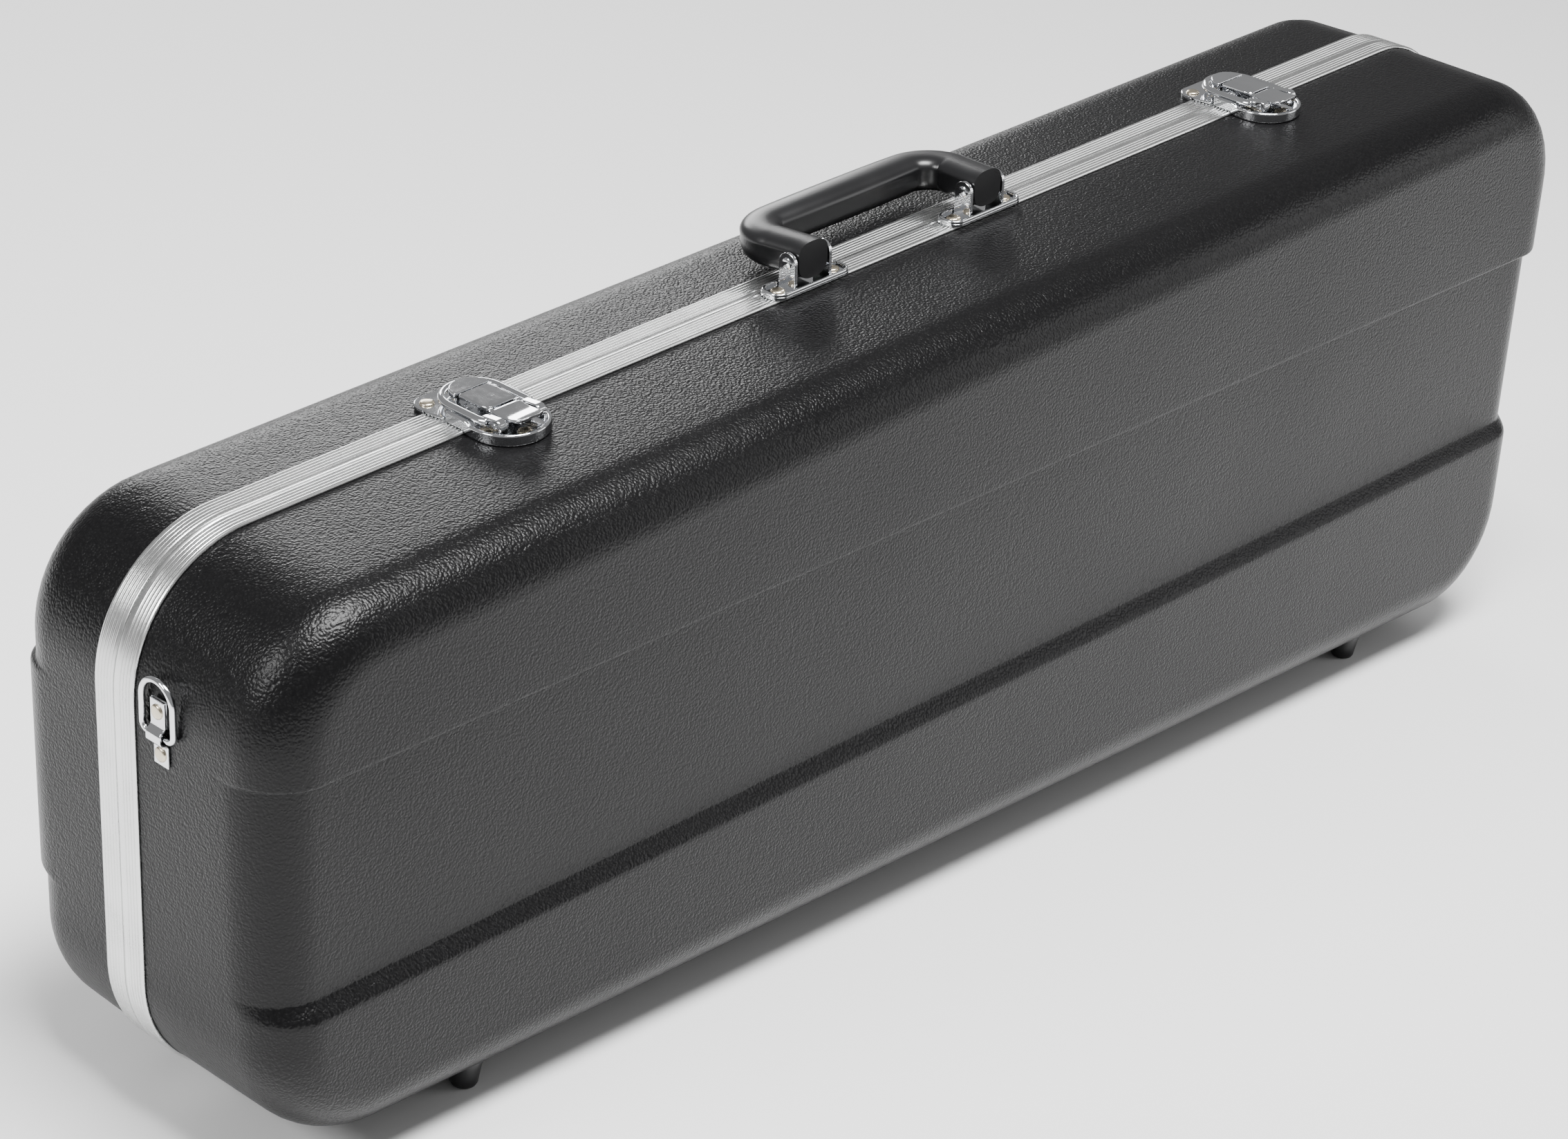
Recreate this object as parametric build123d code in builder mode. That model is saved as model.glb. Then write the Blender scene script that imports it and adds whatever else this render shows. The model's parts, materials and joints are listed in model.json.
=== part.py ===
from build123d import *
import os
from math import atan, cos, degrees, radians, sin, tan

# A tapered violin case standing on its four feet. X runs along the case, the front half (the base)
# faces -Y, the back half (the lid) faces +Y, and Z is up. The origin is on the floor under the
# middle of the case. All sizes are in millimetres and degrees.

# ---- the case -------------------------------------------------------------------------------
case_length = 791.0
scroll_end_height = 223.0  # at the left, narrow end
body_end_height = 283.0  # at the right, wide end
base_depth = 86.0  # parting plane to the front face
lid_depth = 65.0  # parting plane to the back face, beside its raised band
corner_radius = 54.0
edge_radius = 24.0
draft = 1.0
wall = 3.0
parting_gap = 0.4
band_top = 48.6  # the band's edges, measured from the case's middle line
band_bottom = -41.0
band_depth = 5.0  # how far the base's band is sunk
band_rise = 4.0  # how far the lid's band stands out
ledge_height = 5.8  # the sloping ledge under the base's band
foot_height = 12.0
foot_radius = 7.5
foot_tip_radius = 5.5
foot_pitch = 580.0
foot_shift = 4.0  # the feet sit this far to the right of the middle
foot_in_base = 64.0  # parting plane to the feet on the base
foot_in_lid = 46.0

# ---- the aluminium rims ---------------------------------------------------------------------
rim_width = 11.0
rim_sheet = 1.2
rim_flange = 8.0
edge_slack = 0.2  # the shell's draft inside the channel

# ---- latches --------------------------------------------------------------------------------
latch_pitch = 464.6
latch_shift = 6.5  # the latches sit this far to the right of the middle
latch_width = 33.0
latch_reach = 34.0  # parting plane to the round end of the base plate
latch_start = 0.6  # parting plane to the base plate's straight end
latch_sheet = 1.3
latch_rim = 2.0
latch_rim_height = 4.4
lever_width = 15.6
lever_top = 8.0
lever_back = 1.4  # parting plane to the cover's back edge
lever_cover = 16.0  # length of the square cover
lever_tab = 17.0  # length of the thumb tab
lever_sheet = 1.2
lever_pivot = (-1.4, 5.0)  # from the parting plane, above the rim
lever_pin_radius = 0.85
lever_ear_radius = 1.5
bail_pivot = (-23.0, 4.8)
bail_wire = 1.7
bail_inside = 10.7
bail_start = 1.0  # middle of the bail's round end
bail_leg_end = -18.0
bail_link = 3.6  # thickness of the flattened ends
bail_link_radius = 2.3
hook_radius = 8.8
hook_start = 2.4
hook_clearance = 0.3  # bail wire above the hook, so that the lid moves freely
catch_reach = 21.0
catch_rivet = (12.4, 14.2)
running_clearance = 0.05
bail_pin_radius = 1.1

# ---- handle ---------------------------------------------------------------------------------
bracket_pitch = 107.0
bracket_length = 44.0
bracket_width = 12.0
bracket_sheet = 1.5
bracket_lip = 2.6
bracket_setback = 6.6  # parting plane to the bracket's middle line
ear_gap = 18.6
ear_sheet = 1.6
ear_width = 9.0
handle_axis_height = 12.0
handle_pin_radius = 1.6
grip_reach = 32.6  # pivot to the middle of the grip
grip_lift = -2.5  # degrees that the folded grip stands above level
grip_thickness = 16.0
grip_end_width = 17.6
grip_corner = 14.0

# ---- shoulder strap rings ---------------------------------------------------------------------
ring_setback = 26.0  # parting plane to the ring's middle
ring_bar_height = 54.0  # above the case's middle line
ring_width = 20.0
ring_height = 23.2
ring_wire = 1.25  # radius of the wire
ring_stand = 1.8  # ring's middle above the end
keeper_width = 8.0
keeper_sheet = 1.0
keeper_upper = 14.2  # bar to the strip's upper end
keeper_lower = 12.6  # bar to the strip's lower end
keeper_rivet_in = 4.6  # rivet to the strip's end

# ---- hinges -----------------------------------------------------------------------------------
hinge_pitch = 400.0
hinge_length = 60.0
hinge_leaf = 9.0
hinge_sheet = 1.2
hinge_drop = 2.6  # pin's middle below the rim
knuckle_radius = 2.4
hinge_pin_radius = 1.2
knuckle_gap = 0.3

# ---- rivets -----------------------------------------------------------------------------------
rivet_radius = 3.0
rivet_height = 1.0

# ---- lining -----------------------------------------------------------------------------------
liner_gap = 0.5
base_liner_drop = 12.0  # parting plane to the top of the foam bed
well_depth = 50.0
well_middle = 150.0  # along the case, from its middle to the waist of the violin
lower_bout = 214.0
upper_bout = 176.0
waist = 130.0
body_length = 364.0
neck_width = 46.0
neck_end = -300.0
scroll_width = 70.0
pocket_length = 150.0
pocket_width = 52.0
pocket_depth = 46.0
pocket_start = -235.0
pocket_side = 42.0  # case's middle line to the pocket's near edge
bed_split = -32.0  # where the left and right side blocks of the bed meet
pocket_lid_sheet = 5.0
pocket_pin_radius = 1.0
lid_liner_thickness = 12.0
strap_width = 26.0
strap_sheet = 2.0
bow_clip_along = 215.0
bow_sleeve_along = -250.0
bow_spread = 42.0
bow_clip_radius = 9.0
bow_spinner_length = 34.0

# ---- places worked out from the sizes above -----------------------------------------------------
taper = atan((body_end_height - scroll_end_height) / 2 / case_length)
part_y = (base_depth - lid_depth - band_rise) / 2
middle_height = (
    foot_height
    + case_length / 2 * sin(taper)
    + scroll_end_height / 2 * cos(taper)
)
case_shift = ring_bar_height * sin(taper)
mean_height = (scroll_end_height + body_end_height) / 2
bottom_shift = case_shift + mean_height / 2 * sin(taper)
case_middle = Vector(case_shift, part_y, middle_height)
along = Vector(cos(taper), 0, sin(taper))
up = Vector(-sin(taper), 0, cos(taper))
half_gap = parting_gap / 2
rim_top = rim_sheet  # the rim stands this far out of the shell
front_plane = Plane(case_middle, x_dir=along, z_dir=(0, -1, 0))
back_plane = Plane(case_middle, x_dir=along, z_dir=(0, 1, 0))
cross_plane = Plane(case_middle, x_dir=(0, 1, 0), z_dir=along)


def top_plane(distance):
    """Plane on the top rim: X along the top edge, Y to the lid, Z out of the case."""
    edge = Vector(cos(2 * taper), 0, sin(2 * taper))
    out = Vector(-sin(2 * taper), 0, cos(2 * taper))
    middle = case_middle + up * (mean_height / 2)
    return Plane(middle + out * rim_top + edge * distance, x_dir=edge, z_dir=out)


def bottom_plane(distance):
    """Plane on the bottom rim: X along the case, Y to the front, Z down out of the case."""
    place = Vector(bottom_shift + distance, part_y, foot_height - rim_top)
    return Plane(place, x_dir=(1, 0, 0), z_dir=(0, 0, -1))


def end_plane(side):
    """Plane on a case end: side -1 is the left end. X to the front at the left, to the back
    at the right, Y up the end, Z out of the case."""
    sunk = (ring_setback - keeper_width / 2) * tan(radians(draft))
    place = case_middle + along * side * (case_length / 2 - sunk)
    return Plane(place, x_dir=(0, side, 0), z_dir=along * side)


def case_outline(inset):
    """The case's outline, drawn in from its outer surface by inset."""
    half = case_length / 2
    left, right = scroll_end_height / 2, body_end_height / 2
    with BuildSketch() as outline:
        with BuildLine():
            Polyline((-half, -left), (half, -right), (half, right), (-half, left), close=True)
        make_face()
        fillet(outline.vertices(), radius=corner_radius)
        if inset:
            offset(amount=-inset)
    return outline.sketch


def half_form(plane, depth, inset):
    """One half of the case as a solid block: drafted sides and a rounded outer face."""
    with BuildPart() as form:
        with BuildSketch(plane):
            add(case_outline(inset))
        extrude(amount=depth, taper=draft)
        outer = form.faces().sort_by(Axis(plane.origin, plane.z_dir))[-1]
        fillet(outer.edges(), radius=edge_radius - inset)
    return form.part


def band_zone(side, depth, fall, grow):
    """The slot between the band's two edges, on the -Y side for -1 and +Y for 1. It slopes out
    by fall at its lower edge from depth outwards, and grow widens it."""
    far = depth + 4 * band_depth
    low, high = band_bottom - grow, band_top + grow
    slope = fall / band_depth
    with BuildPart() as zone:
        with BuildSketch(cross_plane):
            with BuildLine():
                Polyline(
                    (0, low),
                    (side * depth, low),
                    (side * far, low - slope * (far - depth)),
                    (side * far, high),
                    (0, high),
                    close=True,
                )
            make_face()
        extrude(amount=case_length, both=True)
    return zone.part


def save(part, name):
    """Labels a finished piece and writes its file."""
    part.label = name
    export_step(part, f"parts/{name}.step")


os.makedirs("parts", exist_ok=True)

# ---- base shell ---------------------------------------------------------------------------------
sunk_depth = base_depth - band_depth
base_block = half_form(front_plane, base_depth, 0)
base_sunk = half_form(front_plane, sunk_depth, 0)
base_hollow = half_form(front_plane, base_depth - wall, wall)
base_hollow_sunk = half_form(front_plane, sunk_depth - wall, wall)
base_zone = band_zone(-1, sunk_depth, ledge_height, 0)
base_zone_inside = band_zone(-1, sunk_depth - wall, ledge_height, wall / 2)
base_cut = base_zone - base_sunk
base_hollow_cut = base_zone_inside - base_hollow_sunk

with BuildPart() as base_inside:
    add(base_hollow)
    add(base_hollow_cut, mode=Mode.SUBTRACT)

with BuildPart() as base_shell:
    add(base_block)
    add(base_cut, mode=Mode.SUBTRACT)
    add(base_inside.part, mode=Mode.SUBTRACT)
    with BuildSketch(front_plane):
        add(case_outline(-2 * wall))
    extrude(amount=half_gap + rim_sheet, mode=Mode.SUBTRACT)
save(base_shell.part, "base_shell")

# ---- lid shell ----------------------------------------------------------------------------------
lid_block = half_form(back_plane, lid_depth, 0)
lid_raised = half_form(back_plane, lid_depth + band_rise, 0)
lid_hollow = half_form(back_plane, lid_depth - wall, wall)
lid_zone = band_zone(1, lid_depth, 0, 0)

with BuildPart() as lid_band:
    add(lid_raised)
    add(lid_zone, mode=Mode.INTERSECT)

with BuildPart() as lid_shell:
    add(lid_block)
    add(lid_band.part)
    add(lid_hollow, mode=Mode.SUBTRACT)
    with BuildSketch(back_plane):
        add(case_outline(-2 * wall))
    extrude(amount=half_gap + rim_sheet, mode=Mode.SUBTRACT)
save(lid_shell.part, "lid_shell")


# ---- rims: U channels that grip the edges of the shells ----------------------------------------
def rim(name, plane):
    """An aluminium channel round the mouth of one shell."""
    with BuildPart() as channel:
        with BuildSketch(plane.offset(half_gap)):
            add(case_outline(-rim_sheet))
            add(case_outline(wall + edge_slack + rim_sheet), mode=Mode.SUBTRACT)
        extrude(amount=rim_width - half_gap)
        with BuildSketch(plane.offset(half_gap + rim_sheet)):
            add(case_outline(0))
            add(case_outline(wall + edge_slack), mode=Mode.SUBTRACT)
        extrude(amount=rim_width, mode=Mode.SUBTRACT)
        with BuildSketch(plane.offset(rim_flange)):
            add(case_outline(wall / 2))
        extrude(amount=rim_width, mode=Mode.SUBTRACT)
    save(channel.part, name)


rim("base_valance", front_plane)
rim("lid_valance", back_plane)


# ---- feet ---------------------------------------------------------------------------------------
def foot(name, distance, inward, block):
    """A tapered foot fitted to the case's block; inward is from the parting plane, front positive."""
    place = Vector(bottom_shift + foot_shift + distance, part_y - inward, 0)
    with BuildPart() as post:
        with BuildSketch(Plane(place)):
            Circle(foot_tip_radius)
        with BuildSketch(Plane(place).offset(foot_height + foot_radius)):
            Circle(foot_radius)
        loft()
        fillet(post.edges().sort_by(Axis.Z)[0], radius=foot_tip_radius / 3)
        add(block, mode=Mode.SUBTRACT)
    save(post.part, name)


for side, word in ((-1, "left"), (1, "right")):
    foot(f"foot_base_{word}", side * foot_pitch / 2, foot_in_base, base_block)
    foot(f"foot_lid_{word}", side * foot_pitch / 2, -foot_in_lid, lid_block)


# ---- latches ------------------------------------------------------------------------------------
def side_profile(plane, points):
    """A closed profile seen along the rim, in (from the parting plane, above the rim)."""
    side_plane = Plane(plane.origin, x_dir=plane.y_dir, z_dir=plane.x_dir)
    with BuildSketch(side_plane) as profile:
        with BuildLine():
            Polyline(*points, close=True)
        make_face()
    return profile.sketch


def rod(plane, spot, radius, start, end):
    """A round rod along the rim at spot, from start to end."""
    side_plane = Plane(plane.origin, x_dir=plane.y_dir, z_dir=plane.x_dir)
    with BuildPart() as bar:
        with BuildSketch(side_plane.offset(start)):
            with Locations(spot):
                Circle(radius)
        extrude(amount=end - start)
    return bar.part


def latch_outline(radius, end):
    """The base plate's outline: straight sides and a round front end."""
    round_y = latch_width / 2 - latch_reach
    with BuildSketch() as outline:
        with Locations((0, round_y)):
            Circle(radius)
        with Locations((0, (round_y + end) / 2)):
            Rectangle(2 * radius, end - round_y)
        with Locations((0, end + radius)):
            Rectangle(4 * radius, 2 * radius, mode=Mode.SUBTRACT)
    return outline.sketch


def latch_plate(plane, word):
    """The base plate: a floor with a thick rim wall, and two ears for the lever's pin."""
    seat = plane.offset(-rim_top)
    shelf = -rim_width - parting_gap
    half = latch_width / 2
    ear_x = lever_width / 2 - lever_sheet - 2 * knuckle_gap
    with BuildPart() as plate:
        with BuildSketch(seat):
            add(latch_outline(half, shelf))
        extrude(amount=latch_rim_height)
        with BuildSketch(seat.offset(latch_sheet)):
            add(latch_outline(half - latch_rim, shelf))
        extrude(amount=latch_rim_height, mode=Mode.SUBTRACT)
        with BuildSketch(plane):
            with Locations((0, (shelf - latch_rim - latch_start) / 2)):
                Rectangle(latch_width, latch_rim - shelf - latch_start)
        extrude(amount=latch_sheet)
        for x in (-ear_x, ear_x - lever_sheet):
            add(rod(plane, lever_pivot, lever_ear_radius, x, x + lever_sheet))
            foot_profile = side_profile(
                plane,
                [
                    (lever_pivot[0] - lever_ear_radius, lever_pivot[1]),
                    (lever_pivot[0] - lever_ear_radius, latch_sheet / 2),
                    (lever_pivot[0] + lever_ear_radius, latch_sheet / 2),
                    (lever_pivot[0] + lever_ear_radius, lever_pivot[1]),
                ],
            )
            extrude(foot_profile.moved(Location(plane.x_dir * x)), amount=lever_sheet)
        add(rod(plane, lever_pivot, lever_pin_radius, -half, half), mode=Mode.SUBTRACT)
    save(plate.part, f"latch_plate_{word}")


def latch_lever(plane, word):
    """The lever: a square cover, a thumb tab and two side walls that carry the bail."""
    half = lever_width / 2
    back = lever_back
    front = bail_pivot[0] - 3.0
    under = lever_top - lever_sheet
    tip = back - lever_cover - lever_tab
    cover = side_profile(
        plane,
        [
            (back, under),
            (back, lever_top),
            (back - lever_cover, lever_top),
            (back - lever_cover - 1, lever_top - 0.9),
            (tip + 9, lever_top - 1.3),
            (tip, lever_top),
            (tip, under),
            (tip + 9, under - 1.3),
            (back - lever_cover - 1, under - 0.9),
            (back - lever_cover, under),
        ],
    )
    wall_profile = side_profile(
        plane,
        [
            (back, lever_top),
            (back, lever_pivot[1] - 1.0),
            (back - 5.6, 3.4),
            (bail_pivot[0] + 3, 2.2),
            (front, 2.2),
            (front, under - 1.0),
            (back - lever_cover, lever_top),
        ],
    )
    with BuildPart() as lever:
        extrude(cover.moved(Location(plane.x_dir * -half)), amount=lever_width)
        for x in (-half, half - lever_sheet):
            extrude(wall_profile.moved(Location(plane.x_dir * x)), amount=lever_sheet)
        loose = lever_pin_radius + running_clearance
        add(rod(plane, lever_pivot, loose, -half - 1, half + 1), mode=Mode.SUBTRACT)
        loose = bail_pin_radius + running_clearance
        add(rod(plane, bail_pivot, loose, -half - 1, half + 1), mode=Mode.SUBTRACT)
    save(lever.part, f"latch_lever_{word}")


def latch_bail(plane, word):
    """The U-shaped wire bail with a flat pierced boss on each end."""
    middle = bail_inside + bail_wire
    level = plane.offset(bail_pivot[1])
    boss_start = lever_width / 2 + knuckle_gap
    with BuildPart() as bail:
        with BuildLine(level) as route:
            Line((-middle, bail_leg_end), (-middle, bail_start))
            ThreePointArc(
                (-middle, bail_start), (0, bail_start + middle), (middle, bail_start)
            )
            Line((middle, bail_start), (middle, bail_leg_end))
        start = Plane(route.line @ 0, x_dir=plane.x_dir, z_dir=route.line % 0)
        with BuildSketch(start):
            Circle(bail_wire)
        sweep(path=route.line)
        for x in (-boss_start - bail_link, boss_start):
            add(rod(plane, bail_pivot, bail_link_radius, x, x + bail_link))
            link = side_profile(
                plane,
                [
                    (bail_pivot[0], bail_pivot[1] - bail_link_radius),
                    (bail_leg_end + 2, bail_pivot[1] - bail_wire / 2),
                    (bail_leg_end + 2, bail_pivot[1] + bail_wire / 2),
                    (bail_pivot[0], bail_pivot[1] + bail_link_radius),
                ],
            )
            extrude(link.moved(Location(plane.x_dir * x)), amount=bail_link)
        add(rod(plane, bail_pivot, bail_pin_radius, -2 * middle, 2 * middle), mode=Mode.SUBTRACT)
    save(bail.part, f"latch_bail_{word}")
    with BuildPart() as pins:
        for side in (-1, 1):
            inner = lever_width / 2 - lever_sheet - 0.8
            ends = sorted((side * inner, side * (boss_start + bail_link + 0.5)))
            add(rod(plane, bail_pivot, bail_pin_radius, *ends))
    save(pins.part, f"latch_bail_pins_{word}")


def latch_catch(plane, word):
    """The catch on the lid: a wide round-cornered plate with a half-round hook."""
    near = parting_gap * 2
    with BuildPart() as catch:
        with BuildSketch(plane) as catch_plate:
            with BuildLine():
                Polyline(
                    (-16, near),
                    (16, near),
                    (17.5, catch_reach - 9),
                    (10.5, catch_reach),
                    (-10.5, catch_reach),
                    (-17.5, catch_reach - 9),
                    close=True,
                )
            make_face()
            fillet(catch_plate.vertices().sort_by(Axis.Y)[-4:], radius=4.5)
        extrude(amount=rim_sheet)
        with BuildSketch(plane.offset(-rim_top)):
            add(catch_plate.sketch_local)
            with Locations((0, 0)):
                Rectangle(40, 2 * (rim_width + parting_gap), mode=Mode.SUBTRACT)
        extrude(amount=rim_sheet)
        with BuildSketch(plane.offset(rim_sheet)):
            with Locations((0, hook_start)):
                Circle(hook_radius)
            with Locations((0, hook_start - hook_radius)):
                Rectangle(4 * hook_radius, 2 * hook_radius, mode=Mode.SUBTRACT)
        extrude(amount=bail_pivot[1] - bail_wire - hook_clearance - rim_sheet)
    save(catch.part, f"latch_catch_{word}")


for side, word in ((-1, "left"), (1, "right")):
    latch_middle = top_plane(latch_shift + side * latch_pitch / 2)
    latch_plate(latch_middle, word)
    latch_lever(latch_middle, word)
    latch_bail(latch_middle, word)
    latch_catch(latch_middle, word)
    pin = rod(
        latch_middle,
        lever_pivot,
        lever_pin_radius,
        -lever_width / 2 - 0.6,
        lever_width / 2 + 0.6,
    )
    save(pin, f"latch_lever_pin_{word}")

# ---- handle -------------------------------------------------------------------------------------
axis_spot = (-bracket_setback, handle_axis_height)


def handle_bracket(plane, word):
    """A lipped oblong plate with two ears for the grip's pin, and a stop for the grip."""
    with BuildPart() as bracket:
        with BuildSketch(plane) as oblong:
            with Locations((0, -bracket_setback)):
                RectangleRounded(bracket_length, bracket_width, bracket_width / 2 - 0.5)
        extrude(amount=bracket_lip)
        with BuildSketch(plane.offset(bracket_sheet)):
            with Locations((0, -bracket_setback)):
                inside = bracket_width - 2 * bracket_sheet
                RectangleRounded(bracket_length - 2 * bracket_sheet, inside, inside / 2 - 0.5)
        extrude(amount=bracket_lip, mode=Mode.SUBTRACT)
        for x in (-ear_gap / 2 - ear_sheet, ear_gap / 2):
            add(rod(plane, axis_spot, ear_width / 2, x, x + ear_sheet))
            ear = side_profile(
                plane,
                [
                    (axis_spot[0] - ear_width / 2, axis_spot[1]),
                    (axis_spot[0] - ear_width / 2, bracket_sheet / 2),
                    (axis_spot[0] + ear_width / 2, bracket_sheet / 2),
                    (axis_spot[0] + ear_width / 2, axis_spot[1]),
                ],
            )
            extrude(ear.moved(Location(plane.x_dir * x)), amount=ear_sheet)
        far = ear_gap / 2 + 2 * ear_sheet
        add(rod(plane, axis_spot, handle_pin_radius, -far, far), mode=Mode.SUBTRACT)
    save(bracket.part, f"handle_bracket_{word}")


for side, word in ((-1, "left"), (1, "right")):
    bracket_middle = top_plane(side * bracket_pitch / 2)
    handle_bracket(bracket_middle, word)
    reach = ear_gap / 2 + ear_sheet + 0.6
    pin = rod(bracket_middle, axis_spot, handle_pin_radius, -reach, reach)
    save(pin, f"handle_pin_{word}")

grip_top = top_plane(0)
grip_middle = (
    grip_top.origin
    + grip_top.y_dir * axis_spot[0]
    + grip_top.z_dir * axis_spot[1]
)
grip_back = grip_top.y_dir * cos(radians(grip_lift)) + grip_top.z_dir * sin(radians(grip_lift))
grip_plane = Plane(grip_middle, x_dir=grip_top.x_dir, z_dir=grip_top.x_dir.cross(grip_back))
half_pitch = bracket_pitch / 2
with BuildPart() as handle_grip:
    with BuildLine(grip_plane) as grip_route:
        FilletPolyline(
            (-half_pitch, -grip_end_width / 4),
            (-half_pitch, grip_reach),
            (half_pitch, grip_reach),
            (half_pitch, -grip_end_width / 4),
            radius=grip_corner,
        )
    grip_start = Plane(
        grip_route.line @ 0, x_dir=grip_plane.x_dir, z_dir=grip_route.line % 0
    )
    with BuildSketch(grip_start):
        RectangleRounded(grip_end_width, grip_thickness, grip_thickness / 2 - 1.5)
    sweep(path=grip_route.line)
    bore = handle_pin_radius + running_clearance
    far = half_pitch + grip_end_width
    add(rod(grip_top, axis_spot, bore, -far, grip_corner - half_pitch), mode=Mode.SUBTRACT)
    add(rod(grip_top, axis_spot, bore, half_pitch - grip_corner, far), mode=Mode.SUBTRACT)
save(handle_grip.part, "handle_grip")

# ---- strap rings --------------------------------------------------------------------------------
for side, word in ((-1, "left"), (1, "right")):
    face = end_plane(side)
    ring_x = -side * ring_setback
    half_ring = ring_width / 2 - ring_wire
    bend = half_ring / 3
    crown = ring_bar_height + ring_height - ring_wire
    shoulder = crown - half_ring
    with BuildPart() as ring:
        for turn in (-1, 1):
            edge_x = ring_x + turn * half_ring
            with BuildLine(face.offset(ring_stand)) as loop:
                Line((ring_x, ring_bar_height), (edge_x - turn * bend, ring_bar_height))
                RadiusArc(
                    (edge_x - turn * bend, ring_bar_height),
                    (edge_x, ring_bar_height + bend),
                    -turn * bend,
                )
                Line((edge_x, ring_bar_height + bend), (edge_x, shoulder))
                RadiusArc((edge_x, shoulder), (ring_x, crown), -turn * half_ring)
            ring_start = Plane(loop.line @ 0, x_dir=face.z_dir, z_dir=loop.line % 0)
            with BuildSketch(ring_start):
                Circle(ring_wire)
            sweep(path=loop.line)
    save(ring.part, f"strap_ring_{word}")

    keeper_top = ring_bar_height + keeper_upper
    keeper_end = ring_bar_height - keeper_lower
    bridge = ring_stand + ring_wire + 0.15
    hoop = ring_wire + 0.6
    side_view = Plane(face.origin, x_dir=face.y_dir, z_dir=face.y_dir.cross(face.z_dir))
    along_sign = 1 if side_view.z_dir.dot(face.x_dir) > 0 else -1
    with BuildPart() as keeper:
        with BuildSketch(side_view.offset(along_sign * ring_x - keeper_width / 2)):
            with BuildLine():
                Polyline(
                    (keeper_end, 0),
                    (ring_bar_height - hoop, 0),
                    (ring_bar_height - hoop, bridge),
                    (ring_bar_height + hoop, bridge),
                    (ring_bar_height + hoop, 0),
                    (keeper_top, 0),
                    (keeper_top, 2 * keeper_sheet),
                    (ring_bar_height + hoop + keeper_sheet, 2 * keeper_sheet),
                    (ring_bar_height + hoop + keeper_sheet, bridge + keeper_sheet),
                    (ring_bar_height - hoop - keeper_sheet, bridge + keeper_sheet),
                    (ring_bar_height - hoop - keeper_sheet, keeper_sheet),
                    (keeper_end, keeper_sheet),
                    close=True,
                )
            make_face()
        extrude(amount=keeper_width)
    save(keeper.part, f"ring_keeper_{word}")


# ---- hinges -------------------------------------------------------------------------------------
def hinge_leaf_part(name, plane, flip, spans, bore):
    """A hinge leaf on the bottom rim; flip is 1 for the base and -1 for the lid."""
    clear = knuckle_radius + knuckle_gap
    with BuildPart() as leaf:
        with BuildSketch(plane):
            with Locations((0, flip * (clear + hinge_leaf) / 2)):
                Rectangle(hinge_length, hinge_leaf - clear)
        extrude(amount=hinge_sheet)
        for start, end in spans:
            with BuildSketch(plane):
                with Locations(((start + end) / 2, flip * clear / 2)):
                    Rectangle(end - start, clear + 0.02)
            extrude(amount=hinge_sheet)
            add(rod(plane, (0, hinge_drop), knuckle_radius, start, end))
        far = hinge_length
        add(rod(plane, (0, hinge_drop), bore, -far, far), mode=Mode.SUBTRACT)
    save(leaf.part, name)


for side, word in ((-1, "left"), (1, "right")):
    hinge_plane = bottom_plane(side * hinge_pitch / 2)
    half_hinge = hinge_length / 2
    third = hinge_length / 6
    outer_spans = [(-half_hinge, -third), (third, half_hinge)]
    inner_span = [(-third + knuckle_gap, third - knuckle_gap)]
    hinge_leaf_part(f"hinge_leaf_base_{word}", hinge_plane, 1, outer_spans, hinge_pin_radius)
    loose = hinge_pin_radius + running_clearance
    hinge_leaf_part(f"hinge_leaf_lid_{word}", hinge_plane, -1, inner_span, loose)
    pin = rod(
        hinge_plane, (0, hinge_drop), hinge_pin_radius, -half_hinge - 0.8, half_hinge + 0.8
    )
    save(pin, f"hinge_pin_{word}")


# ---- rivets -------------------------------------------------------------------------------------
def rivet_group(name, places):
    """One node of rivet heads; each place is a plane, a spot on it and a height above it."""
    with BuildPart() as heads:
        for plane, spot, height in places:
            with BuildSketch(plane.offset(height)):
                with Locations(spot):
                    Circle(rivet_radius)
            extrude(amount=rivet_height, taper=25)
    save(heads.part, name)


latch_planes = [top_plane(latch_shift + side * latch_pitch / 2) for side in (-1, 1)]
bracket_planes = [top_plane(side * bracket_pitch / 2) for side in (-1, 1)]
hinge_planes = [bottom_plane(side * hinge_pitch / 2) for side in (-1, 1)]
latch_spots = [(-11.0, -17.0), (11.0, -17.0), (0.0, 7.0 - latch_reach)]
rivet_group(
    "latch_rivets",
    [(p, spot, latch_sheet - rim_top) for p in latch_planes for spot in latch_spots],
)
rivet_group(
    "catch_rivets",
    [(p, (x, catch_rivet[1]), rim_sheet) for p in latch_planes for x in (-catch_rivet[0], catch_rivet[0])],
)
bracket_spot = bracket_length / 2 - 6
rivet_group(
    "bracket_rivets",
    [
        (p, (x, -bracket_setback), bracket_sheet)
        for p in bracket_planes
        for x in (-bracket_spot, bracket_spot)
    ],
)
rivet_group(
    "keeper_rivets",
    [
        (end_plane(side), (-side * ring_setback, ring_bar_height + rise), height)
        for side in (-1, 1)
        for rise, height in (
            (keeper_upper - keeper_rivet_in, 2 * keeper_sheet),
            (keeper_rivet_in - keeper_lower, keeper_sheet),
        )
    ],
)
hinge_spots = [-hinge_length / 3, 0.0, hinge_length / 3]
for flip, word in ((1, "base"), (-1, "lid")):
    rivet_group(
        f"hinge_rivets_{word}",
        [
            (p, (x, flip * (hinge_leaf - rivet_radius - 0.2)), hinge_sheet)
            for p in hinge_planes
            for x in hinge_spots
        ],
    )

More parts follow.
